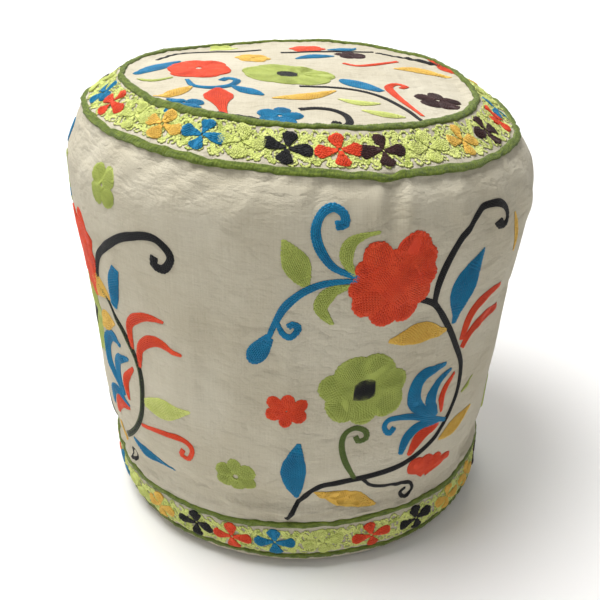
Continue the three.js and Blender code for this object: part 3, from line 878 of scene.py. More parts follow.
class Embroidery:
    """Stitches of one panel, gathered by colour. place turns (u, v, lift) into points."""

    def __init__(self, name, place):
        self.name = name
        self.place = place
        self.stitches = {}
        self.pads = {}

    def ribbon(self, colour, points, widths, lift=0.0, row=ROW, stitch=STITCH, shade=0.5):
        """Rows of stitches that follow a line, as wide as widths says along it."""
        path = spline(points)
        run = np.concatenate([[0], np.cumsum(np.hypot(*np.diff(path, axis=0).T))])
        stations = np.linspace(0, run[-1], len(widths))
        smooth = np.interp(run, stations, widths)
        kernel = np.ones(9) / 9
        smooth = np.convolve(np.pad(smooth, 4, mode="edge"), kernel, mode="valid")
        rows = max(1, round(float(max(widths)) / row))
        count = max(1, int(run[-1] / (stitch * 0.78)))
        step = run[-1] / count
        jitter = RANDOM.uniform(-0.08, 0.08, (rows, count))
        stagger = (np.arange(rows)[:, None] % 2) * 0.5 - 0.25 if rows > 1 else 0.0
        t = (np.arange(count) + 0.5 + stagger + jitter) * step
        t = np.clip(t, 0.3 * stitch, max(run[-1] - 0.3 * stitch, 0.31 * stitch))
        share = ((np.arange(rows) + 0.5) / rows - 0.5)[:, None]

        def at(distance):
            x, y = (np.interp(distance, run, path[:, k]) for k in (0, 1))
            x2, y2 = (np.interp(distance + 0.4, run, path[:, k]) for k in (0, 1))
            x1, y1 = (np.interp(distance - 0.4, run, path[:, k]) for k in (0, 1))
            length = np.maximum(np.hypot(x2 - x1, y2 - y1), 1e-6)
            wide = np.interp(distance, run, smooth)
            nx, ny = -(y2 - y1) / length, (x2 - x1) / length
            return np.stack([x + nx * share * wide, y + ny * share * wide], axis=-1), wide

        middle, wide = at(t)
        ahead, _ = at(t + 0.3)
        behind, _ = at(t - 0.3)
        direction = ahead - behind
        direction /= np.maximum(np.linalg.norm(direction, axis=-1, keepdims=True), 1e-6)
        each = wide / rows
        crowding = np.clip(row / np.maximum(each, 1e-3), 1, 8)
        keep = np.arange(rows)[:, None] % np.round(crowding).astype(int) == 0
        if rows > 2:
            keep |= (np.arange(rows)[:, None] == rows - 1) & (wide > 1.0)
        thick = np.clip(each * np.round(crowding) * 1.22, 0.5, row * 1.3)
        raised = lift + SATIN_CROWN * (1 - (2 * share) ** 2) * np.clip(wide / 8, 0, 1)
        tone = shade + RANDOM.normal(0, 0.11, t.shape) + 0.1 * np.sin(share * 9)
        entry = [
            middle[keep],
            direction[keep],
            np.full(keep.sum(), step * 1.25),
            np.broadcast_to(thick, t.shape)[keep],
            np.broadcast_to(raised, t.shape)[keep],
            tone[keep],
        ]
        self.stitches.setdefault(colour, []).append(entry)
        if max(widths) > 1.2 * row:
            self.underlay(colour, path, smooth, lift, shade)

    def underlay(self, colour, path, widths, lift, shade):
        """The padding of laid thread under a filled shape: a strip closed all round."""
        path, widths = path[::2], widths[::2]
        ahead = np.gradient(path, axis=0)
        ahead /= np.maximum(np.linalg.norm(ahead, axis=1, keepdims=True), 1e-6)
        side = np.stack([-ahead[:, 1], ahead[:, 0]], axis=-1)
        half = (0.5 * np.maximum(widths - 0.5, 0.3))[:, None]
        reach = half * UNDERLAY[:, 0][None]
        flat = path[:, None] + side[:, None] * reach[..., None]
        high = lift * (UNDERLAY[:, 1] > 0) + UNDERLAY[:, 1] + np.zeros(reach.shape)
        self.pads.setdefault(colour, []).append((flat, high, shade))

    def make(self, node=None):
        """One piece per colour. The lime one is the ground of a border, and stands for its node."""
        made = []
        for colour, entries in self.stitches.items():
            middle, direction, length, wide, lift, tone = (
                np.concatenate([e[k] for e in entries]) for k in range(6)
            )
            along = LINK[:, 0][None] * length[:, None]
            across = LINK[:, 1][None] * wide[:, None]
            normal = np.stack([-direction[:, 1], direction[:, 0]], axis=-1)
            flat = (
                middle[:, None]
                + along[..., None] * direction[:, None]
                + across[..., None] * normal[:, None]
            )
            tall = STITCH_HEIGHT * np.clip(wide[:, None] / ROW, 0.6, 1.1)
            high = lift[:, None] + LINK[:, 2][None] * tall
            starts = np.arange(len(length))[:, None, None] * len(LINK)
            triangles = (starts + LINK_FACES).reshape(-1, 3)
            thread_uv = np.stack([along + tone[:, None] * 7, across], axis=-1).reshape(-1, 2)
            flat, high = flat.reshape(-1, 2), high.ravel()
            shades = np.repeat(tone, len(LINK))
            quads = []
            for pad_flat, pad_high, shade in self.pads.get(colour, []):
                stations, sides = pad_high.shape
                start = len(flat)
                i, j = np.meshgrid(np.arange(stations - 1), np.arange(sides), indexing="ij")
                a, b = start + i * sides + j, start + i * sides + (j + 1) % sides
                quads.append(np.stack([a, b, b + sides, a + sides], axis=-1).reshape(-1, 4))
                for end, order in ((start, -1), (start + (stations - 1) * sides, 1)):
                    ring = (end + np.arange(sides))[::order]
                    fan = [(ring[0], ring[m], ring[m + 1]) for m in range(1, sides - 1)]
                    triangles = np.vstack([triangles, fan])
                flat = np.vstack([flat, pad_flat.reshape(-1, 2)])
                high = np.concatenate([high, pad_high.ravel()])
                pad_uv = np.zeros((stations * sides, 2))
                pad_uv[:, 0] = np.repeat(np.arange(stations) * 0.8, sides)
                thread_uv = np.vstack([thread_uv, pad_uv])
                # The underlay shows only between the stitches, and is painted darker there: painted
                # shade.
                shades = np.concatenate([shades, np.full(stations * sides, shade - 0.2)])
            points = self.place(flat[:, 0], flat[:, 1], high)
            low, top = flat.min(axis=0), flat.max(axis=0)
            bake = (flat - low) / (top - low + 1e-6)
            uvs = {"thread": thread_uv, "cloth": flat, "OFBake": bake}
            faces = [triangles, np.vstack(quads)] if quads else [triangles]
            ground = colour == "lime"
            piece = make_mesh(
                f"{self.name}_{colour}", points, faces, threads[colour], uvs,
                replaces=[node] if node and ground else [],
            )
            attribute = piece.data.attributes.new("shade", "FLOAT", "POINT")
            attribute.data.foreach_set("value", shades.astype(np.float32))
            made.append(piece)
        return made


def on_wall(u, z, lift):
    """The wall's patterns: distance round from the front, and height."""
    return on_skin(u / GIRTH_RADIUS, height_to_s(z), lift + 0.12)


def on_top(x, y, lift):
    """The top's patterns, as seen from above."""
    return on_skin(np.arctan2(x, -y), radius_to_s(np.hypot(x, y)), lift + 0.12)


def on_band(u, s, lift):
    """A border: distance round at the wall's girth, and distance up the outline."""
    return on_skin(u / GIRTH_RADIUS, s, lift + 0.12)


def rounded(neck, full, last=0.16, steps=15, wedge=False):
    """Widths along a petal: from its neck to its fullest place, then round to its end."""
    t = np.linspace(0, 1, steps)
    part = np.clip(t / full, 0, 1)
    rising = neck + (1 - neck) * (part if wedge else np.sin(math.pi / 2 * part))
    falling = np.sqrt(np.clip(1 - ((t - full) / (1 - full)) ** 2, 0, 1))
    return np.where(t < full, rising, np.maximum(falling, last))


PETAL = rounded(0.34, 0.62)
LOBE = rounded(0.45, 0.66)
TEAR = rounded(0.1, 0.7, wedge=True)
LEAF = np.array((0.05, 0.4, 0.78, 1.0, 0.98, 0.78, 0.48, 0.2, 0.03))


def scaled(shape, width):
    return np.asarray(shape) * width


def leaf(cloth, colour, base, tip, width, bow=0.0, lift=0.0, shape=LEAF, shade=0.5, row=ROW):
    """A leaf from base to tip. bow moves its middle to the left of that line."""
    base, tip = np.array(base, float), np.array(tip, float)
    run = tip - base
    side = np.array([-run[1], run[0]]) / np.linalg.norm(run)
    middle = (base + tip) / 2 + side * bow
    widths = scaled(shape, width)
    cloth.ribbon(colour, [base, middle, tip], widths, lift, row, row / ROW * STITCH, shade)


def flower(cloth, colour, centre, petals, reach, width, turn=0.0, hollow=0.16, stretch=(1, 1),
           heart=None, heart_size=0.0, lift=0.0, shade=0.5):
    """Petals round a centre. hollow is the share of the reach that is left free inside."""
    centre = np.array(centre, float)
    for k in range(petals):
        angle = math.radians(turn) + 2 * math.pi * k / petals
        out = np.array([math.cos(angle), math.sin(angle)]) * stretch
        base = centre + out * reach * hollow
        tip = centre + out * reach * RANDOM.uniform(0.95, 1.04)
        wide = width * (stretch[0] * abs(math.sin(angle)) + stretch[1] * abs(math.cos(angle)))
        leaf(cloth, colour, base, tip, wide, 0.0, lift + 0.05 * (k % 2), PETAL, shade)
    if heart:
        half = np.array([heart_size / 2, 0])
        cloth.ribbon(
            heart, [centre - half, centre + half], scaled((0.8, 1.1, 1.15, 1.1, 0.8), heart_size),
            lift + 0.5, row=1.2,
        )


# Petals of the big carnation: (tip, width, bow), round its own centre. All places on the wall are
# (distance round, height) in the frame of one vine.
CARNATION_CENTRE = (77, 320)
BIG_ROW = 1.9
CARNATION_PETALS = (
    ((97, 364), 31, -3), ((79, 350), 22, 0), ((58, 357), 26, 3), ((45, 338), 24, 2),
    ((39, 315), 26, 0), ((47, 292), 27, -2), ((67, 279), 27, 0), ((91, 282), 27, 2),
    ((109, 301), 26, 2), ((116, 325), 28, 0), ((111, 348), 26, -2),
)


def carnation(cloth, du, drop=0):
    """The big flower: overlapping lobes over a filled middle."""
    middle = (CARNATION_CENTRE[0] + du, CARNATION_CENTRE[1] - drop)
    for k, (tip, width, bow) in enumerate(CARNATION_PETALS):
        # Lower lobes are painted darker and raised ones lighter: painted shade under the overlapping
        # lobes.
        shade = 0.5 + 0.12 * (k % 3 - 1)
        end = (tip[0] + du, tip[1] - drop)
        leaf(cloth, "red", middle, end, width, bow, 0.12 * (k % 3), LOBE, shade, BIG_ROW)
    for (u0, z0), (u1, z1) in (((66, 310), (98, 332)), ((88, 300), (62, 334))):
        ends = [(u0 + du, z0 - drop), (u1 + du, z1 - drop)]
        cloth.ribbon("red", ends, scaled(LOBE, 26), 0.45, BIG_ROW)


def tulip(cloth, colour, base, tips, width):
    for k, tip in enumerate(tips):
        leaf(cloth, colour, base, tip, width, (k - 1) * 1.5, 0.1 * (k % 2), LOBE)


# Lines of one vine: (colour, width, points).
VINE_LINES = (
    (
        "black", 6.2,
        (
            (-10, 63), (5, 92), (21, 109), (38, 113), (55, 115), (82, 117), (114, 123), (142, 136),
            (162, 153), (173, 176), (171, 207), (155, 237), (140, 262), (122, 288), (103, 300),
        ),
    ),
    (
        "black", 4.4,
        ((65, 113), (76, 102), (102, 92), (122, 84), (127, 73), (118, 67), (112, 75), (118, 79)),
    ),
    (
        "forest", 5.6,
        (
            (56, 116), (46, 138), (42, 157), (45, 170), (54, 174), (64, 169), (65, 161), (58, 159),
            (55, 165),
        ),
    ),
)
BRANCH = ((119, 289), (121, 312), (129, 336), (144, 359), (160, 371), (178, 375), (192, 368),
          (197, 357), (190, 351), (184, 357))

# The stem and branch of the other kind of vine.
OTHER_STEM = ((-10, 63), (5, 92), (21, 109), (38, 113), (72, 112), (104, 100), (126, 108),
              (152, 130), (169, 157), (173, 186), (169, 210), (153, 239), (136, 254), (113, 264))
OTHER_BRANCH = ((113, 264), (118, 282), (132, 301), (162, 322), (187, 334), (209, 339), (221, 334),
                (225, 325), (218, 315), (208, 315), (209, 323))

# Tapering strokes of a vine: (kind, colour, widths along the stroke, points). The kind is both,
# first or other.
VINE_STROKES = (
    (
        "both", "blue", (3, 5, 7, 8, 8, 7, 7, 7, 8),
        (
            (47, 326), (27, 335), (16, 350), (12, 366), (16, 379), (25, 385), (33, 381), (34, 373),
            (27, 371),
        ),
    ),
    (
        "both", "blue", (3, 5, 6, 7, 7, 6, 5, 4),
        ((47, 324), (23, 321), (2, 312), (-11, 299), (-19, 282), (-25, 266)),
    ),
    ("both", "blue", scaled(PETAL, 17), ((-23, 270), (-31, 257), (-39, 243))),
    (
        "both", "blue", (3, 5, 5, 6, 6),
        ((-18, 286), (-13, 275), (-5, 273), (1, 279), (-4, 284), (-8, 281)),
    ),
    ("both", "sage", (2, 7, 11, 11, 8, 3, 1), ((43, 328), (36, 344), (41, 359), (62, 366))),
    ("both", "sage", (2, 8, 13, 12, 8, 2), ((41, 319), (26, 313), (18, 298), (28, 282))),
    ("both", "sage", (1, 10, 18, 22, 20, 14, 5), ((-12, 358), (-4, 342), (6, 319))),
    ("both", "gold", (2, 10, 17, 22, 22, 17, 9, 2), ((78, 263), (105, 264), (138, 260))),
    ("first", "blue", (1, 9, 20, 29, 33, 30, 20, 8, 4), ((170, 334), (153, 302), (146, 263))),
    ("other", "blue", (9, 15, 17, 16, 9), ((158, 296), (150, 278), (146, 257))),
    ("first", "red", (7, 11, 13, 13, 9, 4), ((163, 239), (169, 262), (185, 275), (217, 280))),
    ("first", "red", (7, 11, 13, 13, 9, 4), ((166, 229), (176, 243), (196, 250), (232, 249))),
    ("other", "red", (3, 7, 9, 10, 8, 5, 1), ((165, 222), (166, 246), (186, 260), (211, 264))),
    ("other", "red", (3, 7, 10, 11, 9, 5, 1), ((172, 206), (177, 227), (198, 241), (228, 238))),
    (
        "both", "blue", (3, 9, 14, 15, 14, 9, 3),
        ((139, 162), (114, 186), (113, 207), (126, 219), (147, 219)),
    ),
    ("both", "blue", (3, 9, 13, 14, 11, 7, 2), ((142, 164), (132, 185), (138, 201), (157, 209))),
    ("both", "red", (2, 7, 9, 9, 6, 2), ((150, 163), (149, 184), (163, 202))),
    (
        "first", "blue", (4, 6, 7, 7, 6, 5, 6),
        ((158, 150), (117, 171), (90, 178), (82, 171), (87, 162), (92, 168)),
    ),
    ("both", "blue", (2, 6, 9, 11, 12, 10, 4), ((148, 154), (124, 160), (108, 152), (101, 134))),
    ("both", "red", (2, 10, 14, 15, 11, 4), ((147, 151), (125, 148), (111, 129))),
    ("first", "gold", (1, 10, 17, 18, 14, 8, 1), ((150, 131), (174, 135), (204, 145))),
    ("first", "sage", (1, 4, 5, 3, 1), ((181, 171), (190, 176), (200, 182))),
    ("other", "lime", (7, 16, 21, 21, 15, 7, 1), ((176, 172), (203, 174), (232, 182))),
    (
        "other", "red", (3, 5, 6, 6, 5, 5, 5),
        ((166, 142), (199, 146), (220, 146), (229, 138), (224, 126), (216, 128), (219, 135)),
    ),
    ("other", "blue", (1, 10, 19, 20, 15, 7, 1), ((143, 114), (165, 103), (198, 94))),
    ("both", "gold", (1, 10, 18, 24, 24, 17, 8, 1), ((18, 102), (49, 88), (84, 70))),
    ("both", "blue", (2, 12, 21, 24, 20, 12, 2), ((3, 163), (-2, 130), (1, 95))),
    ("first", "gold", (1, 8, 13, 12, 6, 1), ((217, 356), (228, 334), (228, 312))),
)
OTHER_CARNATION_DROP = 38  # the other kind's big flower hangs lower
VINE_OFFSETS = (0, -329, -632, 340)  # distance round from the front
BESIDE_SEAM = 2  # the vine that starts at the back seam
BACK_VINES = (2, 3)


def vine(cloth, number):
    du = VINE_OFFSETS[number]
    kind = "other" if number % 2 else "first"

    def moved(points):
        return [(u + du, z) for u, z in points]

    for colour, width, points in VINE_LINES:
        if kind == "other" and width > 5:
            points = OTHER_STEM
        widths = scaled((0.6, 1, 1.05, 1, 0.95, 1, 0.9), width)
        cloth.ribbon(colour, moved(points), widths)
    branch = OTHER_BRANCH if kind == "other" else BRANCH
    cloth.ribbon("black", moved(branch), (5, 7.4, 7.8, 7.4, 7, 7, 8))
    for only, colour, widths, points in VINE_STROKES:
        if only in ("both", kind):
            cloth.ribbon(colour, moved(points), widths, 0.1)
    carnation(cloth, du, OTHER_CARNATION_DROP if kind == "other" else 0)
    flower(cloth, "sage", (60 + du, 214), 7, 42, 26, 14, 0.1, (1.0, 0.9), "black", 20)
    flower(cloth, "red", (-8 + du, 199), 6, 20, 11, 25, 0.06, (1.0, 0.86))
    if number != BESIDE_SEAM:
        flower(cloth, "sage", (-57 + du, 118), 6, 21, 13, 32, 0.14)
    if kind == "first":
        tips = ((115 + du, 119), (133 + du, 119), (155 + du, 113), (177 + du, 98))
        tulip(cloth, "red", (143 + du, 86), tips, 21)


def single_motifs(cloth):
    """Motifs that stand by themselves, between the two front vines."""
    flower(cloth, "sage", (-178, 366), 4, 19, 14, 45, 0.1)
    leaf(cloth, "gold", (-226, 224), (-190, 236), 20, 2)


front_wall = Embroidery("front_wall_stitch", on_wall)
back_wall = Embroidery("back_wall_stitch", on_wall)
for number in range(len(VINE_OFFSETS)):
    vine(back_wall if number in BACK_VINES else front_wall, number)
single_motifs(front_wall)
front_wall.make()
back_wall.make()

# The top's patterns, as (x, y) seen from above with -y towards the front.
top_cloth = Embroidery("top_stitch", on_top)
TOP_FLOWERS = (
    # colour, centre, petals, reach, petal width, turn, stretch, heart, heart size
    ("sage", (-12, -5), 7, 43, 33, 12, (1.05, 0.9), "black", 19),
    ("red", (-96, -4), 8, 39, 30, 20, (0.75, 1.0), None, 0),
    ("gold", (-48, 58), 6, 18, 12, 0, (1, 1), None, 0),
    ("blue", (-96, -127), 4, 18, 13, 40, (1, 1), None, 0),
    ("blue", (-16, -141), 5, 19, 13, 10, (1, 1), None, 0),
    ("brown", (127, -50), 5, 23, 15, 20, (0.9, 1.1), None, 0),
    ("brown", (54, 95), 5, 17, 12, 30, (1, 1), None, 0),
    ("red", (8, 122), 6, 20, 13, 0, (1, 1), None, 0),
    ("lime", (-84, 128), 5, 16, 11, 8, (1, 1), None, 0),
)
TOP_STROKES = (
    ("blue", (3, 16, 23, 22, 12, 2), ((-155, -22), (-137, 2), (-118, 31))),
    ("sage", (2, 5, 6, 5, 2), ((-148, -43), (-132, -52), (-116, -42))),
    ("gold", (1, 11, 17, 13, 1), ((-123, -110), (-107, -92), (-95, -73))),
    (
        "blue", (3, 5, 7, 8, 7, 7, 7),
        ((-102, -50), (-94, -70), (-78, -76), (-62, -66), (-57, -46), (-66, -40), (-71, -50)),
    ),
    ("blue", (1, 10, 17, 14, 2), ((-61, -66), (-46, -80), (-31, -92))),
    ("red", (2, 15, 26, 25, 14, 8, 5, 4), ((-72, -75), (-68, -108), (-60, -148))),
    (
        "black", (4, 5, 5, 5, 6),
        ((-33, -151), (-45, -148), (-57, -148), (-65, -151), (-65, -158), (-59, -159), (-58, -153)),
    ),
    (
        "black", (5, 6, 6, 6.5, 7, 8),
        (
            (0, -123), (14, -117), (28, -119), (38, -128), (41, -142), (36, -153), (29, -152),
            (31, -144),
        ),
    ),
    ("gold", (1, 11, 18, 16, 9, 1), ((-23, -98), (8, -84), (33, -57))),
    ("black", (4, 5, 5, 5, 4), ((0, -49), (40, -45), (70, -60), (92, -93), (106, -126))),
    ("blue", scaled(PETAL, 23), ((76, -44), (57, -26), (40, -8))),
    ("lime", (1, 9, 13, 10, 1), ((34, -86), (52, -93), (71, -88))),
    ("lime", (1, 9, 13, 10, 1), ((53, -112), (71, -117), (90, -116))),
    (
        "red", (5, 7, 8, 9, 8, 6, 4, 2),
        ((96, -24), (101, -13), (92, -8), (84, -26), (87, -48), (94, -72), (106, -106)),
    ),
    ("gold", (1, 12, 20, 18, 9, 1), ((95, 50), (122, 55), (152, 46))),
    ("red", (4, 12, 18, 15, 3), ((136, 98), (149, 78), (160, 51))),
    ("lime", (1, 8, 13, 9, 1), ((100, 135), (115, 126), (129, 108))),
    ("red", (3, 5, 6, 5, 4), ((44, 55), (58, 48), (78, 60), (102, 83))),
    ("blue", (2, 11, 16, 12, 1), ((-4, 66), (14, 78), (36, 84))),
    ("blue", (2, 11, 16, 12, 1), ((30, 118), (48, 126), (62, 140))),
    ("black", (4, 5, 5, 4), ((-144, 49), (-125, 84), (-95, 94), (-67, 92), (-42, 107))),
    ("black", (4, 5, 5, 4), ((-20, 92), (6, 100), (34, 108), (62, 118), (80, 128))),
    ("black", (4, 5, 5, 4), ((83, 125), (129, 92), (156, 60), (166, 18))),
)
for colour, centre, petals, reach, width, turn, stretch, heart, heart_size in TOP_FLOWERS:
    flower(top_cloth, colour, centre, petals, reach, width, turn, 0.12, stretch, heart, heart_size)
for colour, widths, points in TOP_STROKES:
    top_cloth.ribbon(colour, points, widths, 0.1)
top_cloth.make()

# ---- Borders: four-petalled flowers on a ground of looped chain stitch ---------------------------

BORDER_COLOURS = ("black", "red", "blue", "lime", "gold", "brown", "sage")
LOOP_PITCH = 8.8
RUNNERS = 3
RUNNER_WAVE = 34.0
BESIDE_CORD = 3  # from a cord's middle to a border's edge
BORDER_FLOWER = (20, 15.5)  # reach of a flower's petals, across and up
TOP_BAND_RADIUS = 186.5
BASE_BAND_RADIUS = 204.0


def border(name, low, high, flowers, ring_radius, node, size):
    """Flowers round a band. ring_radius is the band's own radius at its middle."""
    cloth = Embroidery(name, on_band)
    middle = (low + high) / 2
    girth = 2 * math.pi * GIRTH_RADIUS
    squeeze = GIRTH_RADIUS / ring_radius
    for degrees, colour in flowers:
        u = math.radians(degrees) * GIRTH_RADIUS
        across, up = size
        turn = RANDOM.uniform(-9, 9)
        rise = RANDOM.uniform(-0.8, 0.8)
        for petal in range(4):
            a = math.radians(turn + 90 * petal)
            reach = across if petal % 2 == 0 else up
            wide = (13.0 if petal % 2 == 0 else 14.0) * RANDOM.uniform(0.92, 1.08)
            out = np.array([math.cos(a) * squeeze, math.sin(a)])
            base = np.array([u, middle + rise]) + out * 1.6
            tip = np.array([u, middle + rise]) + out * reach
            stretch = squeeze if petal % 2 else 1.0
            leaf(cloth, colour, base, tip, wide * stretch, 0, 1.0, TEAR)
    for runner in range(RUNNERS):
        phase = 2 * math.pi * runner / RUNNERS
        sway = (high - low) / 2 - 4.5
        waves_round = int(girth / squeeze / RUNNER_WAVE) + runner
        u = np.linspace(-girth / 2, girth / 2, waves_round * 8)
        turn = waves_round * 2 * math.pi * u / girth + phase
        v = middle + sway * (0.8 * np.sin(turn) + 0.2 * np.sin(2.3 * turn + phase))
        widths = 3.6 + 1.5 * np.sin(np.linspace(0, waves_round * 9.7, waves_round * 6) + phase)
        colour = "sage" if runner == 1 else "lime"
        cloth.ribbon(colour, np.stack([u, v], axis=-1), widths, 0.0, 1.9, 3.4, 0.7)
    columns = int(girth / squeeze / LOOP_PITCH)
    rows = max(2, round((high - low - 5) / (LOOP_PITCH * 0.86)))
    for i in range(columns):
        for j in range(rows):
            u = (i + 0.5 * (j % 2) + RANDOM.uniform(-0.2, 0.2)) / columns * girth - girth / 2
            v = low + 3.5 + (j + 0.5 + RANDOM.uniform(-0.15, 0.15)) * (high - low - 7) / rows
            radius = RANDOM.uniform(0.36, 0.5) * LOOP_PITCH
            start = RANDOM.uniform(0, 2 * math.pi)
            sense = RANDOM.choice((-1, 1))
            turns = start + sense * np.linspace(0, RANDOM.uniform(4.6, 6.4), 7)
            grow = np.linspace(1.0, 0.55, 7)
            loop = [
                (u + squeeze * radius * g * math.cos(t), np.clip(v + radius * g * math.sin(t),
                                                                low + 1.2, high - 1.2))
                for t, g in zip(turns, grow)
            ]
            cloth.ribbon("lime", loop, (2.0, 2.5, 2.5, 2.0), 0.15, 2.5, 3.3,
                         RANDOM.uniform(0.4, 1.1))
    return cloth.make(node)


def spaced(colours, start, step):
    return [(start + step * k, colour) for k, colour in enumerate(colours)]


top_border_flowers = [
    (-95, "black"), (-72, "blue"), (-60, "red"), (-47, "lime"), (-36, "gold"), (-24, "blue"),
    (-14, "lime"), (-3, "black"), (9.5, "red"), (20.5, "brown"), (34, "lime"), (47, "gold"),
    (61, "brown"), (76, "red"),
]
top_border_flowers += spaced((BORDER_COLOURS * 3)[2:16], 89, 12.5) + [(-84, "lime")]
border(
    "top_border_stitch", WALL_LENGTH + BESIDE_CORD, TOP_INNER_CORD - BESIDE_CORD,
    top_border_flowers, TOP_BAND_RADIUS, "top_border", BORDER_FLOWER,
)
base_border_flowers = [
    (-29.6, "black"), (-18.1, "red"), (-6.1, "blue"), (6.9, "lime"), (20.5, "red"),
    (34.9, "black"), (48.5, "gold"),
]
base_border_flowers += spaced((BORDER_COLOURS * 4)[4:26], 61, 12.2)
border(
    "base_border_stitch", BASE_LOWER_CORD + BESIDE_CORD, BASE_UPPER_CORD - BESIDE_CORD,
    base_border_flowers, BASE_BAND_RADIUS, "base_border", BORDER_FLOWER,
)

# ---- Cords ---------------------------------------------------------------------------------------

CORD_TURNS = 2600
CORD_WIDTH = 7.6
BASE_CORD_WIDTH = 6.2
CORD_HEIGHT = 2.3
CORD_SLANT = 2.4  # how far one edge runs ahead of the other
CORD_PROFILE = np.array(
    [
        (-0.5, -0.9), (-0.5, 0.25), (-0.42, 0.72), (-0.28, 0.93), (-0.1, 1.0), (0.1, 1.0),
        (0.28, 0.93), (0.42, 0.72), (0.5, 0.25), (0.5, -0.9),
    ],
)
PUCKER = 74.0  # distance round from the front at which the rim is drawn in
PUCKER_DIP = 3.5
PUCKER_HALF = 13
SAG = 42  # degrees to the left of the front at which the inner cord dips
SAG_DIP = 3.5
SAG_HALF = 24
DEGREES = 57.3  # in one radian
CORD_WAVES = (  # waves round the pouf, sideways sway, change of width
    (5, 0.7, 0.3),
    (11, 0.6, 0.3),
    (23, 0.4, 0.35),
    (47, 0.25, 0.3),
    (97, 0.12, 0.25),
)


def cord_finish():
    """Braided thread over a filler: slanted satin stitches, mottled by age and by painted light."""
    f = Finish("braided_cord", 0.6, 0.1, specular=0.3)
    along, across, _ = f.parts(f.uv("thread"))
    slant = f.math("ADD", along, f.math("MULTIPLY", across, 0.8))
    place = f.uv("cloth")
    wander = f.noise(f.stretched(place, (0.25, 0.6, 1)), 1.0, 3)
    slant = f.math("ADD", slant, f.math("MULTIPLY", wander, 2.4))
    strand = f.math("SINE", f.math("MULTIPLY", slant, 6.2))
    mottle = f.noise(f.stretched(place, (0.11, 0.5, 1)), 1.0, 4)
    fine = f.noise(f.stretched(place, (0.9, 0.9, 1)), 1.0, 3)
    # The mottle is partly age and partly painted light.
    age_and_painted_light_mottle = f.ranged(mottle, 0.34, 0.66, -0.1, 0.9)
    share = f.math("ADD", age_and_painted_light_mottle, f.ranged(fine, 0.3, 0.7, -0.2, 0.3))
    share = f.math("MINIMUM", f.math("MAXIMUM", share, 0.0), 1.0)
    colour = f.mixed(share, srgb(82, 102, 22), srgb(138, 156, 56))
    # Painted shade between the strands and painted highlight on their tops.
    colour = f.tinted(colour, f.ranged(strand, -1.0, 1.0, 0.76, 1.1))
    height = f.math("ADD", strand, f.math("MULTIPLY", fine, 1.2))
    return f.done(colour, f.bump(height, 0.2 * MM))


braid = cord_finish()


def cord_band(name, node, s, width):
    """A stitched cord round the pouf at one distance up the outline."""
    angle = (np.arange(CORD_TURNS) / CORD_TURNS + 0.5) * 2 * math.pi
    from_front = angle - 2 * math.pi
    wander = 0
    wide = width
    for lobes, sway, swell in CORD_WAVES:
        wander = wander + sway * np.sin(lobes * angle + RANDOM.uniform(0, 6.3))
        wide = wide + swell * np.sin(lobes * angle + RANDOM.uniform(0, 6.3))
    if node == "top_inner_cord":
        wander = wander - SAG_DIP * np.exp(-((from_front * DEGREES + SAG) / SAG_HALF) ** 2)
    if node == "top_outer_cord":
        dip = np.exp(-((from_front * GIRTH_RADIUS - PUCKER) / PUCKER_HALF) ** 2)
        wander = wander - PUCKER_DIP * dip
    ridge = 0.16 * np.sin(angle * 420) + 0.1 * np.sin(angle * 171 + 1)
    across = CORD_PROFILE[:, 0][None] * wide[:, None] + wander[:, None]
    high = CORD_PROFILE[:, 1][None] * CORD_HEIGHT + ridge[:, None] * (CORD_PROFILE[:, 1] > 0.5)
    turned = np.broadcast_to(angle[:, None], across.shape)
    slanted = turned + CORD_PROFILE[:, 0][None] * CORD_SLANT / GIRTH_RADIUS
    points = on_skin(slanted, s + across, high)
    columns, rows = across.shape
    faces = grid_faces(columns, rows, True)
    k = np.arange(columns)
    n = (k + 1) % columns
    closing = np.stack([k * rows, k * rows + rows - 1, n * rows + rows - 1, n * rows], axis=-1)
    steps = np.diff(CORD_PROFILE * (CORD_WIDTH, CORD_HEIGHT), axis=0)
    round_run = np.concatenate([[0], np.cumsum(np.hypot(*steps.T))])
    run_along = (turned - math.pi) * GIRTH_RADIUS
    thread_uv = np.stack([run_along, np.broadcast_to(round_run, across.shape)], axis=-1)
    share_round = (turned - math.pi) / (2 * math.pi) * BAKE_ROUND
    share_across = np.broadcast_to(round_run / round_run[-1], across.shape)
    bake = np.stack([share_round, share_across], axis=-1)
    uvs = {
        "thread": thread_uv.reshape(-1, 2),
        "cloth": thread_uv.reshape(-1, 2),
        "OFBake": bake.reshape(-1, 2),
    }
    periods = {**WRAPPED, "thread": WRAPPED["cloth"]}
    return make_mesh(
        name, points, [np.vstack([faces, closing])], braid, uvs, replaces=[node],
        periods=periods,
    )


for node, s, width in (
    ("top_outer_cord", WALL_LENGTH, CORD_WIDTH),
    ("top_inner_cord", TOP_INNER_CORD, CORD_WIDTH),
    ("base_upper_cord", BASE_UPPER_CORD, BASE_CORD_WIDTH),
    ("base_lower_cord", BASE_LOWER_CORD, BASE_CORD_WIDTH),
):
    cord_band(node + "_braid", node, s, width)

# ---- Turned-in edges of the seams, inside the cover ----------------------------------------------

BINDING_LIFTS = (-1.8, -3.0)
SEAM_EDGE = 12.0
BACK_SEAM_HALF = 12.0


def binding(name, node, low, high):
    made = panel(name, node, low, high, 6, BINDING_LIFTS, canvas)


binding("top_seam_edges", "top_seam_binding", WALL_LENGTH - 1.5 - SEAM_EDGE, WALL_LENGTH - 1.5)
binding("base_seam_edges", "base_seam_binding", 2.0, 2.0 + SEAM_EDGE)

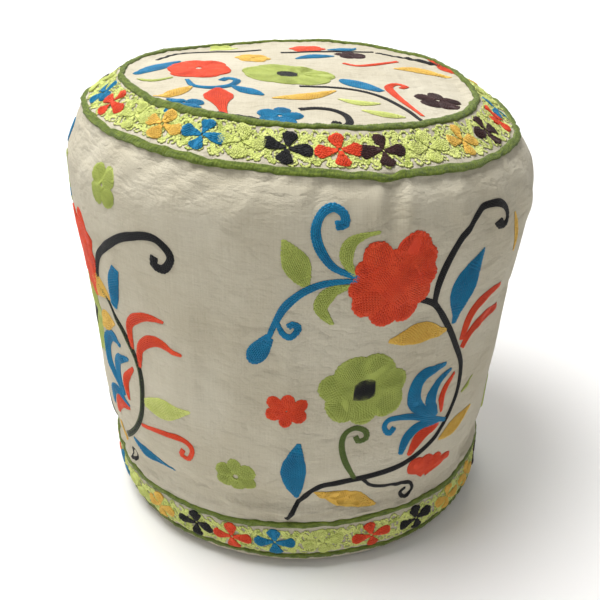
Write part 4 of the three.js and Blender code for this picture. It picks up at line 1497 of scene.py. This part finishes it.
half_turn = BACK_SEAM_HALF / GIRTH_RADIUS
back_low, back_high = 2.0 + SEAM_EDGE + 2, WALL_LENGTH - SEAM_EDGE - 4
angle, s = np.meshgrid(
    np.linspace(math.pi - half_turn, math.pi + half_turn, 9),
    np.linspace(back_low, back_high, 90),
    indexing="ij",
)
points, faces = slab(on_skin(angle, s, BINDING_LIFTS[1]), on_skin(angle, s, BINDING_LIFTS[0]))
back_edges = make_mesh(
    "back_seam_edges",
    points,
    faces,
    canvas,
    {"cloth": np.vstack([cloth_uv(angle, s)] * 2)},
    replaces=["back_seam_binding"],
)

# ---- Zip -----------------------------------------------------------------------------------------

TAPE = (1.5, 15.9)  # each tape's near and far edge
TAPE_Z = (10.8, 11.4)
COIL_REACH = 146.0
COIL_PITCH = 1.6
COIL_MIDDLE = (1.81, 9.5)
COIL_RADII = (1.26, 0.67)
WIRE = 0.33
WIRE_SIDES = 5
POINTS_PER_LOOP = 10

for where, sign in (("front", -1), ("back", 1)):
    along = np.linspace(-ZIP_REACH + 0.3, ZIP_REACH - 0.3, 260)
    x, y = np.meshgrid(along, sign * np.linspace(*TAPE, 16), indexing="ij")
    if sign < 0:
        x = x[::-1]
    ripple = 0.05 * np.sin(x * 0.31 + sign) + 0.05 * np.sin(x * 0.11)
    lower = np.stack([x, y, TAPE_Z[0] + 0.1 + ripple], axis=-1)
    upper = lower + np.array([0, 0, TAPE_Z[1] - TAPE_Z[0] - 0.1])
    points, faces = slab(lower, upper)
    tape = make_mesh(
        f"zip_tape_{where}_cloth",
        points,
        faces,
        tape_cloth,
        {"cloth": points[:, :2]},
        replaces=[f"zip_tape_{where}"],
    )


def plastic(name, colour, deep):
    f = Finish(name, 0.38, 0.0, specular=0.45)
    place = f.stretched(f.own_place(), (1000, 1000, 1000))
    cloud = f.noise(place, 0.6, 3)
    return f.done(f.mixed(cloud, deep, colour), f.bump(f.noise(place, 3.0, 2), 0.03 * MM))


def metal(name, colour, deep):
    f = Finish(name, 0.34, 0.0, metallic=1.0, specular=0.5)
    place = f.stretched(f.own_place(), (1000, 1000, 1000))
    scratches = f.noise(f.stretched(place, (0.2, 3.0, 3.0)), 1.0, 4)
    tarnish = f.noise(place, 0.35, 4)
    colour = f.mixed(f.ranged(tarnish, 0.35, 0.65, 0.0, 1.0), deep, colour)
    rough = f.ranged(f.math("ADD", scratches, tarnish), 0.6, 1.4, 0.24, 0.5)
    return f.done(colour, f.bump(scratches, 0.02 * MM), rough)


coil_plastic = plastic("coil_plastic", srgb(226, 219, 202), srgb(206, 198, 178))
nickel = metal("zip_nickel", srgb(196, 194, 188), srgb(150, 146, 138))


def coil(name, sign, node):
    """A nylon coil: one wire wound along the tape's edge, its loops reaching between the other's."""
    loops = int(2 * (COIL_REACH - WIRE) / COIL_PITCH)
    steps = loops * POINTS_PER_LOOP
    t = np.arange(steps) / POINTS_PER_LOOP
    turn = t * 2 * math.pi
    x = -COIL_REACH + WIRE + t * COIL_PITCH
    x = x + 0.22 * COIL_PITCH * np.sin(2 * turn)
    x = np.clip(x + (sign > 0) * 0.5 * COIL_PITCH, -COIL_REACH + WIRE, COIL_REACH - WIRE)
    y = sign * (COIL_MIDDLE[0] - COIL_RADII[0] * np.cos(turn))
    z = COIL_MIDDLE[1] + COIL_RADII[1] * np.sin(turn)
    line_points = np.stack([x, y, z], axis=-1)
    ahead = np.gradient(line_points, axis=0)
    ahead /= np.linalg.norm(ahead, axis=1, keepdims=True)
    out = np.stack([np.zeros(steps), -sign * np.cos(turn), np.sin(turn)], axis=-1)
    out -= (out * ahead).sum(axis=1, keepdims=True) * ahead
    out /= np.linalg.norm(out, axis=1, keepdims=True)
    other = np.cross(ahead, out)
    ring = np.arange(WIRE_SIDES) * 2 * math.pi / WIRE_SIDES
    tube = (
        line_points[:, None]
        + WIRE * np.cos(ring)[None, :, None] * out[:, None]
        + WIRE * np.sin(ring)[None, :, None] * other[:, None]
    )
    i, j = np.meshgrid(np.arange(steps - 1), np.arange(WIRE_SIDES), indexing="ij")
    a, b = i * WIRE_SIDES + j, i * WIRE_SIDES + (j + 1) % WIRE_SIDES
    sides = np.stack([a, b, b + WIRE_SIDES, a + WIRE_SIDES], axis=-1).reshape(-1, 4)
    ends = np.array(
        [
            np.arange(WIRE_SIDES)[::-1],
            np.arange(WIRE_SIDES) + (steps - 1) * WIRE_SIDES,
        ]
    )
    faces = [sides, ends]
    return make_mesh(name, tube, faces, coil_plastic, replaces=[node])


coil("zip_coil_front_wire", -1, "zip_coil_front")
coil("zip_coil_back_wire", 1, "zip_coil_back")


def refined(node, name, edge, body="pouf_body"):
    """A hard piece with its edges rounded over."""
    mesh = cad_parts[node].data.copy()
    mesh.name = name
    work = bmesh.new()
    work.from_mesh(mesh)
    bmesh.ops.remove_doubles(work, verts=work.verts, dist=0.01 * MM)
    bmesh.ops.dissolve_limit(work, angle_limit=math.radians(2), verts=work.verts, edges=work.edges)
    sharp = [e for e in work.edges if e.is_manifold and e.calc_face_angle(0) > math.radians(28)]
    bmesh.ops.bevel(
        work, geom=sharp, offset=edge * MM, segments=3, profile=0.5, affect="EDGES", clamp_overlap=True
    )
    work.to_mesh(mesh)
    work.free()
    mesh.materials.clear()
    mesh.materials.append(nickel)
    made = bpy.data.objects.new(name, mesh)
    bpy.context.scene.collection.objects.link(made)
    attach(made, body)
    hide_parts(node)
    for face in mesh.polygons:
        face.use_smooth = False
    return made


refined("zip_slider", "zip_slider_body", 0.22, body="zip_slider")
refined("zip_pull_tab", "zip_pull_tab_metal", 0.16, body="zip_pull")
refined("zip_top_stop_front", "zip_top_stop_front_metal", 0.3)
refined("zip_top_stop_back", "zip_top_stop_back_metal", 0.3)
refined("zip_bottom_stop", "zip_bottom_stop_metal", 0.3)

# Topstitching on both sides of the zip.
base_stitches = Embroidery("base_topstitch", lambda x, y, lift: on_base(x, -y, lift))
for sign in (-1, 1):
    for offset in (9.2, 12.4):
        xs = np.linspace(-153, 153, 26)
        base_stitches.ribbon("cream", [(x, sign * offset) for x in xs], (0.9, 0.9), -0.25, 0.9, 3.6)
for sign in (-1, 1):
    for offset in (154, 157):
        base_stitches.ribbon(
            "cream", [(sign * offset, y) for y in (-12.4, 0, 12.4)], (0.9, 0.9), -0.25, 0.9, 3.0
        )
base_stitches.make()

# ---- The inner bag and its filling ---------------------------------------------------------------

BAG_UNDER_COVER = 3.4  # past the cover's cloth and its turned-in edges
CALICO = 0.8
NEIGHBOURS = 5

slumped = slump(turned_grid(TURN_STEPS, RISE_STEPS))
slumped_normals = grid_normals(slumped)
dents = ((skin - slumped) * slumped_normals).sum(axis=-1)


def neighbours(values, joined):
    """A grid's values joined over the places round each point."""
    moves = range(-NEIGHBOURS, NEIGHBOURS + 1)
    padded_rows = np.pad(values, ((0, 0), (NEIGHBOURS, NEIGHBOURS)), mode="edge")
    rises = values.shape[1]
    values = joined([padded_rows[:, m + NEIGHBOURS : m + NEIGHBOURS + rises] for m in moves], axis=0)
    return joined([np.roll(values, m, axis=0) for m in moves], axis=0)


room = neighbours(neighbours(dents, np.min), np.mean) - BAG_UNDER_COVER
bag = slumped + slumped_normals * room[..., None]
bag_normals = grid_normals(bag)


def in_bag(angle, s, lift=0.0):
    """Points of the inner bag's outside, or deeper with a lift below 0."""
    lift = np.broadcast_to(lift, np.shape(s))
    return sample(bag, angle, s) + sample(bag_normals, angle, s) * lift[..., None]


BAG_TURNS = 240
BAG_FOOT = 3.0
BAG_RIM_GAP = 0.4


def bag_panel(name, node, low, high, rows):
    """A calico panel of the inner bag."""
    angle = (np.arange(BAG_TURNS) / BAG_TURNS + 0.5) * 2 * math.pi
    reaches_middle = high >= OUTLINE_LENGTH
    last = OUTLINE_LENGTH - 1.5 if reaches_middle else high
    angle, s = np.meshgrid(angle, np.linspace(low, last, rows), indexing="ij")
    tips = None
    if reaches_middle:
        tips = [in_bag(np.zeros(1), np.full(1, OUTLINE_LENGTH), lift) for lift in (0.0, -CALICO)]
    points, faces = shell(in_bag(angle, s), in_bag(angle, s, -CALICO), tips)
    cloth = points[:, :2] if reaches_middle else np.vstack([cloth_uv(angle, s)] * 2)
    periods = None if reaches_middle else WRAPPED
    return make_mesh(
        name, points, faces, calico, {"cloth": cloth}, replaces=[node], periods=periods
    )


bag_side = bag_panel(
    "inner_bag_side_cloth", "inner_bag_side", BAG_FOOT, WALL_LENGTH - BAG_RIM_GAP, 90
)
bag_top = bag_panel(
    "inner_bag_top_cloth", "inner_bag_top", WALL_LENGTH + BAG_RIM_GAP, OUTLINE_LENGTH, 50
)

BAG_BASE_Z = 2.8
BAG_BASE_RISE = 11.3
BAG_BASE_RADIUS = 181.0


def polar_grid(radius, turns, rings, height):
    """A disc's grid from its middle outwards, with heights worked out from x and y."""
    angle = (np.arange(turns) / turns + 0.5) * 2 * math.pi
    angle, r = np.meshgrid(angle, np.linspace(1.5, radius, rings), indexing="ij")
    x, y = r * np.sin(angle), -r * np.cos(angle)
    return np.stack([x, y, height(x, y)], axis=-1)


def bag_base_height(x, y):
    shrink = GROOVE_HALF_FLOOR / (GROOVE_HALF_FLOOR + 2)
    return BAG_BASE_Z + BAG_BASE_RISE * base_lift(x, y * shrink)


# The grid runs outwards, so its underside is the shell's outer face when read from the rim inwards.
under = polar_grid(BAG_BASE_RADIUS, BAG_TURNS, 90, bag_base_height)[:, ::-1][::-1]
over = under + np.array([0, 0, CALICO])
tips = [
    np.array([[0, 0, BAG_BASE_Z + BAG_BASE_RISE]]),
    np.array([[0, 0, BAG_BASE_Z + BAG_BASE_RISE + CALICO]]),
]
points, faces = shell(under, over, tips)
bag_base = make_mesh(
    "inner_bag_base_cloth", points, faces, calico, {"cloth": points[:, :2]},
    replaces=["inner_bag_base"],
)


def filling_finish(name, light, deep, size, height, sheen=0.3):
    f = Finish(name, 0.95, sheen, specular=0.1)
    place = f.stretched(f.own_place(), (1000, 1000, 1000))
    tufts = f.noise(place, size, 5, 0.7)
    clumps = f.noise(place, size * 0.12, 3)
    colour = f.mixed(f.ranged(clumps, 0.35, 0.65, 0.0, 1.0), deep, light)
    # Painted shade in the hollows between tufts, from the same noise as their bump.
    colour = f.tinted(colour, f.ranged(tufts, 0.3, 0.7, 0.88, 1.05))
    return f.done(colour, f.bump(tufts, height * MM))


fibre = filling_finish("polyester_fibre", srgb(246, 246, 244), srgb(230, 230, 228), 0.5, 1.2)
foam = filling_finish("upholstery_foam", srgb(240, 226, 168), srgb(226, 208, 140), 1.6, 0.35, 0.1)

FILL_UNDER_BAG = CALICO + 0.4
CORE = (171.5, 28.6, 389.7)  # radius, bottom and top
CORE_EDGE = 7.0
PAD_TOP = 28.0
CROWN_BASE = 390.4


def uneven(points, depth):
    """Presses a filling's surface in here and there."""
    x, y, z = points[..., 0], points[..., 1], points[..., 2]
    dip = np.sin(x * 0.07 + 1.1 * np.sin(z * 0.05)) + np.sin(y * 0.06 - 0.8 * np.sin(x * 0.04))
    dip = dip + 0.6 * np.sin(0.13 * z + 0.05 * x - 0.06 * y)
    middle = np.array([0, 0, 210.0])
    inward = middle - points
    inward /= np.linalg.norm(inward, axis=-1, keepdims=True)
    return points + inward * (depth * (0.5 + 0.19 * dip))[..., None]


def turned_solid(name, node, grid, finish, ends):
    """A solid from a grid whose columns run from the middle below to the middle above, or, with
    no ends, round a ring."""
    columns, rows = grid.shape[:2]
    count = columns * rows
    k = np.arange(columns)
    n = (k + 1) % columns
    faces = [grid_faces(columns, rows, True)]
    points = grid.reshape(-1, 3)
    if ends is None:
        top, bottom = rows - 1, 0
        closing = [k * rows + top, n * rows + top, n * rows + bottom, k * rows + bottom]
        faces = [np.vstack([faces[0], np.stack(closing, axis=-1)])]
    else:
        points = np.vstack([points, *ends])
        low = np.stack([n * rows, k * rows, np.full(columns, count)], axis=-1)
        high = np.stack(
            [k * rows + rows - 1, n * rows + rows - 1, np.full(columns, count + 1)], axis=-1
        )
        faces.append(np.vstack([low, high]))
    made = make_mesh(name, points, faces, finish, replaces=[node])
    return made


def rings(turns, path):
    """Slumped rings through (radius, height) points."""
    angle = (np.arange(turns) / turns + 0.5) * 2 * math.pi
    r, z = np.array(path, float).T
    x, y = np.sin(angle)[:, None] * r, -np.cos(angle)[:, None] * r
    return slump(np.stack([x, y, np.broadcast_to(z, x.shape)], axis=-1))


def bag_rings(turns, low, high, rows):
    """Rings that follow the inside of the bag between two distances up the outline."""
    angle = (np.arange(turns) / turns + 0.5) * 2 * math.pi
    angle, s = np.meshgrid(angle, np.linspace(low, high, rows), indexing="ij")
    return in_bag(angle, s, -FILL_UNDER_BAG)


def tip(z):
    return slump(np.array([[0.0, 0.0, z]]))


FILL_TURNS = 200
radius, bottom, top_z = CORE
edge = [
    (radius - CORE_EDGE * (1 - math.sin(a)), bottom + CORE_EDGE * (1 - math.cos(a)))
    for a in np.linspace(0, math.pi / 2, 7)
]
edge_above = [(r, bottom + top_z - z) for r, z in edge[::-1]]
across = [(r, bottom) for r in np.linspace(4, radius - CORE_EDGE - 6, 24)]
up = [(radius, z) for z in np.linspace(bottom + CORE_EDGE + 6, top_z - CORE_EDGE - 6, 50)]
core_path = across + edge + up + edge_above + [(r, top_z) for r, _ in across[::-1]]
core = uneven(rings(FILL_TURNS, core_path), 0.4)
core_block = turned_solid(
    "foam_core_block", "foam_core", core, foam, (tip(bottom + 0.1), tip(top_z - 0.1))
)

s_low, s_high = height_to_s(PAD_TOP + 0.8), height_to_s(CROWN_BASE - 1.4)
inner_wall = rings(FILL_TURNS, [(radius + 0.9, z) for z in np.linspace(388.2, 29.4, 60)])
wrap = np.concatenate([bag_rings(FILL_TURNS, s_low, s_high, 90), inner_wall], axis=1)
wrap_fill = turned_solid("fibre_wrap_fill", "fibre_wrap", wrap, fibre, None)

crown_floor = rings(FILL_TURNS, [(r, CROWN_BASE + 0.6) for r in np.linspace(4, 208, 40)])
crown = np.concatenate(
    [crown_floor, bag_rings(FILL_TURNS, s_high + 4.0, OUTLINE_LENGTH - 4, 90)], axis=1
)
crown_tip = in_bag(np.zeros(1), np.full(1, OUTLINE_LENGTH), -FILL_UNDER_BAG)
crown_fill = turned_solid(
    "fibre_crown_fill", "fibre_crown", crown, fibre, (tip(CROWN_BASE + 0.6), crown_tip)
)

pad_under = polar_grid(BAG_BASE_RADIUS - 1, FILL_TURNS, 80, bag_base_height)
pad_under = pad_under + np.array([0, 0, CALICO + 0.4])
pad_top = rings(FILL_TURNS, [(r, PAD_TOP) for r in np.linspace(190, 4, 40)])
pad = np.concatenate(
    [pad_under, bag_rings(FILL_TURNS, 6.0, height_to_s(PAD_TOP - 1.5), 14), pad_top], axis=1
)
pad_tip = np.array([[0, 0, BAG_BASE_Z + BAG_BASE_RISE + CALICO + 0.4]])
pad_fill = turned_solid(
    "fibre_pad_fill", "fibre_base_pad", pad, fibre, (pad_tip, tip(PAD_TOP))
)

# ---- Stage: a plain pale floor, soft light and the camera ----------------------------------------

FLOOR_HALF = 6.0
floor_mesh = bpy.data.meshes.new("floor")
floor_mesh.from_pydata(
    [(x * FLOOR_HALF, y * FLOOR_HALF, -0.0004) for x, y in ((-1, -1), (1, -1), (1, 1), (-1, 1))],
    [],
    [(0, 1, 2, 3)],
)
floor = bpy.data.objects.new("floor", floor_mesh)
bpy.context.scene.collection.objects.link(floor)
paper = Finish("studio_paper", 0.95, specular=0.05)
floor_mesh.materials.append(paper.done(srgb(250, 249, 247)))


def area_light(name, place, target, size, power, colour=(1, 1, 1)):
    lamp = bpy.data.lights.new(name, "AREA")
    lamp.shape = "DISK"
    lamp.size = size
    lamp.energy = power
    lamp.color = colour
    made = bpy.data.objects.new(name, lamp)
    made.location = place
    made.rotation_euler = (Vector(target) - Vector(place)).to_track_quat("-Z", "Y").to_euler()
    bpy.context.scene.collection.objects.link(made)


SEAT_CENTRE = (0, 0, 0.3)
area_light("overhead", (-0.55, -0.1, 2.1), SEAT_CENTRE, 1.2, 46)
area_light("front_fill", (-1.8, -2.2, 1.0), SEAT_CENTRE, 2.0, 4)
area_light("back_wash", (0, 4.2, 2.6), (0, 4.2, 0), 3.5, 150)

world = bpy.data.worlds.new("studio")
world.use_nodes = True
world.node_tree.nodes["Background"].inputs[0].default_value = (1, 1, 1, 1)
world.node_tree.nodes["Background"].inputs[1].default_value = 0.34
bpy.context.scene.world = world

CAMERA_PLACE = (0.0, -0.828, 0.609)
CAMERA_TILT = 63.3
CAMERA_LENS = 51.0
camera_data = bpy.data.cameras.new("camera")
camera_data.lens = CAMERA_LENS
camera_data.sensor_width = 36.0
camera = bpy.data.objects.new("camera", camera_data)
camera.location = CAMERA_PLACE
camera.rotation_euler = (math.radians(CAMERA_TILT), 0, 0)
bpy.context.scene.collection.objects.link(camera)
bpy.context.scene.camera = camera
bpy.context.scene.view_settings.view_transform = "Standard"
